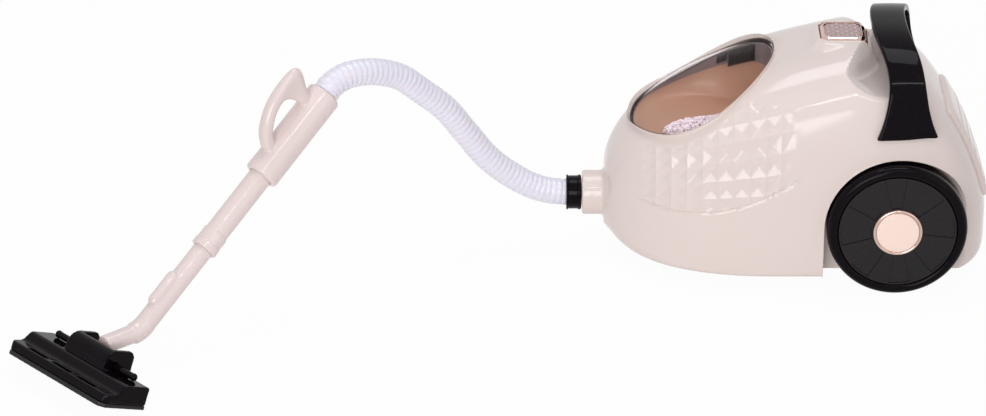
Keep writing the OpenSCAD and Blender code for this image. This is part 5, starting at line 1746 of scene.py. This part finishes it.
@dataclass
class Wand:
    """Handle, telescopic tubes and elbow of the wand."""

    line: WandLine
    collar_s: float = 63.5
    upper_s: float = 77.0
    grip_s: float = 121.0
    grip_l: float = 66.0
    grip_r: float = 11.0
    loop_half: float = 4.2
    loop_outer: tuple[Pair, ...] = (
        (12, 8), (14.2, 15.5), (19, 23), (27, 29), (36, 33), (46, 34.8), (55, 35.1),
        (60.8, 34.1), (63.6, 31.3), (63.3, 27), (61.0, 21.3), (59, 16), (59.4, 8))
    loop_inner: tuple[Pair, ...] = (
        (22, 8), (22.8, 13.5), (25, 17.6), (29.5, 21.3), (34, 24), (38.5, 25.2), (42, 24.9),
        (44.8, 23.2), (46.7, 20.8), (48, 18.3), (49, 15.5), (49.4, 12.5), (49.5, 8))

    def handle(self) -> bpy.types.Object:
        """Builds the grip and its loop as one skin.

        Returns:
            The new object.
        """
        along, across, out = self.line.axes()
        base = self.line.at(self.grip_s)
        r, g, e = self.grip_r, self.grip_l, 1.7
        outline = [(5.0, 0.02), (5.0, 7.7), (0.2, 7.7), (0.0, 7.9)] + arc(e, r - e, e, e, 180, 90, 8)
        outline += arc(g - e, r - e, e, e, 90, 0, 8)
        outline += [(g, 9.1), (g - 0.3, 8.8), (g - 7.5, 8.8), (g - 7.5, 0.02)]
        patch = Patch()
        lathe(patch, outline, base, along, out, 96, caps=True)
        outer, inner = smooth_line(self.loop_outer, 8), smooth_line(self.loop_inner, 8)
        mid, half = (outer + inner) / 2, (outer - inner) / 2
        a = np.linspace(0, 2 * math.pi, 40, endpoint=False)
        c = np.sign(np.cos(a)) * np.abs(np.cos(a)) ** 0.8
        s = np.sign(np.sin(a)) * np.abs(np.sin(a)) ** 0.8
        flat = mid[:, None] + c[None, :, None] * half[:, None]
        wide = self.loop_half * (1.0 - 0.15 * ease(mid[:, 0], 36, 56))
        rows = base + flat[..., :1] * along + flat[..., 1:] * out + (wide[:, None] * s)[..., None] * across
        patch.grid(rows, wrap=True, caps=True)
        return melted(patch.build("loop_handle.raw"), 0.42, 10, "loop_handle")

    def build(self) -> None:
        """Builds the pieces of the wand."""
        along, _, out = self.line.axes()
        base = self.line.at(0.0)
        dress(self.handle(), [CREAM_SATIN], Body.HOSE_AND_GRIP, "wand_handle")
        tube = [(self.upper_s - 6, 7.5), (self.grip_s + 4, 7.5)]
        patch = Patch()
        lathe(patch, tube, base, along, out, 96)
        dress(patch.build("sliding_tube", crease=50), [CREAM_SATIN], Body.HOSE_AND_GRIP, "upper_tube")
        c, e = self.collar_s, self.upper_s
        ring = [(c, 6.6), (c, 7.8)] + arc(c + 0.8, 7.7, 0.8, 0.8, 180, 90, 7)
        ring += [(c + 4.6, 8.5)] + arc(c + 4.6, 8.1, 0.5, 0.4, 90, 20, 5)
        ring += [(c + 5.4, 8.12), (e - 1.2, 8.1)] + arc(e - 1.2, 7.3, 1.0, 0.8, 90, 0, 7) + [(e - 0.2, 7.4)]
        patch = Patch()
        lathe(patch, ring, base, along, out, 96)
        dress(patch.build("slide_collar", crease=50), [CREAM_SATIN], Body.HOSE_AND_GRIP, "tube_collar")
        lower = melted_copy("lower_tube", 0.5, 24, "elbow_tube")
        dress(lower, [CREAM_SATIN], Body.LOWER_WAND, "lower_tube")


@dataclass
class Nozzle:
    """The black floor nozzle."""

    line: WandLine
    passes: int = 16
    tilt: float = 23.0
    pin_a: float = 28.5
    pin_b: float = 16.994
    baffle_a: float = 8.8

    def place(self, points: np.ndarray) -> np.ndarray:
        """Places in the nozzle, from its front edge, as millimetres from the axle.

        Args:
            points: Places along, across and over the nozzle.

        Returns:
            The places.
        """
        p = np.asarray(points, float) - np.array([self.pin_a, 0.0, self.pin_b])
        c, s = math.cos(math.radians(self.tilt)), math.sin(math.radians(self.tilt))
        ahead, up = p[..., 0] * c + p[..., 2] * s, p[..., 2] * c - p[..., 0] * s
        ct, st = math.cos(math.radians(self.line.turn)), math.sin(math.radians(self.line.turn))
        flat = np.stack([ahead * ct - p[..., 1] * st, ahead * st + p[..., 1] * ct, up], -1)
        return flat + np.array(self.line.pivot)

    def baffle(self) -> bpy.types.Object:
        """Builds the low wall behind the slots, with a round top and ribs.

        Returns:
            The new object.
        """
        y = np.linspace(-37, 37, 149)
        thick = 0.45 + 0.35 * np.maximum(0, np.cos(2 * np.pi * y / 6)) ** 4
        rise = [(-1.0, 2.9), (-1.0, 5.0), (-1.0, 6.6), (-0.6, 7.2)]
        profile = rise + [(0.0, 7.4)] + [(-k, z) for k, z in rise[::-1]]
        rows = np.array([[(self.baffle_a + k * t, v, z) for k, z in profile] for v, t in zip(y, thick)])
        patch = Patch()
        patch.grid(self.place(rows), wrap=True, caps=True)
        return dress(patch.build("slot_baffle", crease=60), [BLACK_SATIN], Body.NOZZLE)

    def build(self) -> None:
        """Builds the hood, the sole and the pivot pin with rounded edges."""
        hood = melted_copy("nozzle_top", 0.5, self.passes, "floor_hood")
        dress(hood, [BLACK], Body.NOZZLE, "nozzle_top")
        sole = melted_copy("nozzle_base", 0.42, self.passes, "floor_sole")
        dress(sole, [BLACK_SATIN], Body.NOZZLE, "nozzle_base")
        self.baffle()
        pin = melted_copy("nozzle_pin", 0.3, 6, "pivot_pin")
        dress(pin, [BLACK], Body.NOZZLE, "nozzle_pin")


# Studio

@dataclass
class Studio:
    """Camera, floor, lamps and world."""

    place: tuple[float, float, float] = (-0.0109, -2.2870, 1.1804)
    tilt: float = 64.0
    lens: float = 149.7
    floor_glow: float = 0.96

    def camera(self) -> None:
        """Puts the camera where the photograph was taken from."""
        data = bpy.data.cameras.new("photo_camera")
        data.lens = self.lens
        data.sensor_width = 36.0
        data.sensor_fit = "HORIZONTAL"
        data.clip_end = 50.0
        obj = bpy.data.objects.new("photo_camera", data)
        obj.location = self.place
        obj.rotation_euler = (math.radians(self.tilt), 0.0, 0.0)
        bpy.context.scene.collection.objects.link(obj)
        bpy.context.scene.camera = obj

    def lamp(self, name: str, place: Sequence[float], target: Sequence[float], size: tuple[float, float],
             power: float, tint: tuple[float, float, float] = (1.0, 1.0, 1.0)) -> None:
        """Adds one softbox that faces a target.

        Args:
            name: The lamp's name.
            place: Where it stands, in metres.
            target: What it faces.
            size: Its width and height.
            power: Its power in watts.
            tint: Its colour.
        """
        data = bpy.data.lights.new(name, "AREA")
        data.shape = "RECTANGLE"
        data.size, data.size_y = size
        data.energy = power
        data.color = tint
        obj = bpy.data.objects.new(name, data)
        obj.location = place
        obj.rotation_euler = (Vector(target) - Vector(place)).to_track_quat("-Z", "Y").to_euler()
        bpy.context.scene.collection.objects.link(obj)

    def seen(self, tree: bpy.types.NodeTree) -> bpy.types.NodeSocket:
        """A socket that is 1 for rays of the camera, of glass and of gloss.

        Args:
            tree: The node tree.

        Returns:
            The socket.
        """
        path = tree.nodes.new("ShaderNodeLightPath").outputs
        direct = math_node(tree, "MAXIMUM", path["Is Camera Ray"], path["Is Transmission Ray"])
        return math_node(tree, "MAXIMUM", direct, path["Is Glossy Ray"])

    def world(self) -> None:
        """Soft white surroundings, plain white to the camera."""
        world = bpy.data.worlds.new("studio")
        bpy.context.scene.world = world
        world.use_nodes = True
        tree = world.node_tree
        soft = tree.nodes["Background"]
        soft.inputs["Color"].default_value = (1.0, 0.985, 0.98, 1.0)
        soft.inputs["Strength"].default_value = 0.36
        white = tree.nodes.new("ShaderNodeBackground")
        white.inputs["Color"].default_value = (1.0, 1.0, 1.0, 1.0)
        white.inputs["Strength"].default_value = 1.0
        mix = tree.nodes.new("ShaderNodeMixShader")
        tree.links.new(self.seen(tree), mix.inputs[0])
        tree.links.new(soft.outputs[0], mix.inputs[1])
        tree.links.new(white.outputs[0], mix.inputs[2])
        tree.links.new(mix.outputs[0], tree.nodes["World Output"].inputs["Surface"])

    def floor(self) -> None:
        """A pale floor that keeps a faint shadow."""
        mesh = bpy.data.meshes.new("studio_floor")
        mesh.from_pydata([(-8, -8, 0), (8, -8, 0), (8, 8, 0), (-8, 8, 0)], [], [(0, 1, 2, 3)])
        obj = bpy.data.objects.new("studio_floor", mesh)
        bpy.context.scene.collection.objects.link(obj)
        mat = bpy.data.materials.new("studio_floor")
        mat.use_nodes = True
        tree = mat.node_tree
        shader = tree.nodes["Principled BSDF"]
        shader.inputs["Base Color"].default_value = (0.9, 0.88, 0.87, 1.0)
        shader.inputs["Roughness"].default_value = 0.9
        shader.inputs["Specular IOR Level"].default_value = 0.0
        glow = tree.nodes.new("ShaderNodeEmission")
        glow.inputs["Color"].default_value = (1.0, 1.0, 1.0, 1.0)
        mix = tree.nodes.new("ShaderNodeMixShader")
        tree.links.new(math_node(tree, "MULTIPLY", self.seen(tree), self.floor_glow), mix.inputs[0])
        tree.links.new(shader.outputs[0], mix.inputs[1])
        tree.links.new(glow.outputs[0], mix.inputs[2])
        tree.links.new(mix.outputs[0], tree.nodes["Material Output"].inputs["Surface"])
        mesh.materials.append(mat)

    def lamps(self) -> None:
        """Softboxes: a key from the front left, a top light and a fill from the right."""
        self.lamp("key_softbox", (-0.6, -2.2, 0.78), (0.05, 0.05, 0.06), (1.4, 1.1), 27.0)
        self.lamp("top_softbox", (0.1, 0.4, 1.9), (0.0, 0.05, 0.05), (1.2, 0.8), 13.0, (0.94, 0.95, 1.0))
        self.lamp("strip_softbox", (0.35, -1.2, 1.5), (0.15, 0.05, 0.08), (1.0, 0.06), 3.0, (0.95, 0.96, 1.0))
        self.lamp("fill_softbox", (1.5, -1.0, 0.8), (0.1, 0.05, 0.08), (1.0, 1.0), 2.0)


NODE_SLOTS = {
    "window_seal": Slot.SEAL, "bead_tray": Slot.TRAY, "motor": Slot.STEEL, "motor_shaft": Slot.STEEL,
    "impeller": Slot.INNER, "motor_bracket": Slot.INNER, "bracket_screws": Slot.STEEL,
    "batteries": Slot.BATTERY, "battery_contacts": Slot.STEEL, "battery_door": Slot.BLACK_SATIN,
    "door_screw": Slot.STEEL, "shell_screws": Slot.STEEL, "rear_axle": Slot.STEEL,
    "axle_bushes": Slot.INNER, "axle_clips": Slot.STEEL, "caster_socket": Slot.BLACK_SATIN,
    "caster_fork": Slot.BLACK_SATIN, "caster_pin": Slot.STEEL, "caster_roller": Slot.BLACK_GLOSS,
    "button_spring": Slot.STEEL, "push_switch": Slot.BLACK_SATIN, "nozzle_screws": Slot.STEEL,
}


def dress_nodes() -> None:
    """Gives each CAD node that still shows a finish by its slot."""
    for name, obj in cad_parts.items():
        slot = NODE_SLOTS.get(name)
        finish = NODE_FINISH[slot] if slot else INNER_GREY
        obj.data.materials.clear()
        obj.data.materials.append(finish.material())


def main() -> None:
    """Builds the studio and every piece in order."""
    logging.basicConfig(level=logging.INFO, format="%(name)s %(message)s")
    bpy.context.scene.view_settings.view_transform = "Standard"
    studio = Studio()
    studio.camera()
    wand = WandLine()
    hose = Hose(wand)
    hose.build()
    studio.world()
    studio.floor()
    studio.lamps()
    dress_nodes()
    form = BodyForm()
    canister = Canister(form)
    canister.upper()
    canister.lower()
    canister.rear_panel()
    window = Window(form)
    window.pane()
    window.seal()
    window.tub()
    window.heap()
    Strap(form).build()
    Button().build()
    Wheel(-1).build()
    Wheel(1).build()
    hose.fittings()
    Wand(wand).build()
    Nozzle(wand).build()


if __name__ == "__main__":
    main()
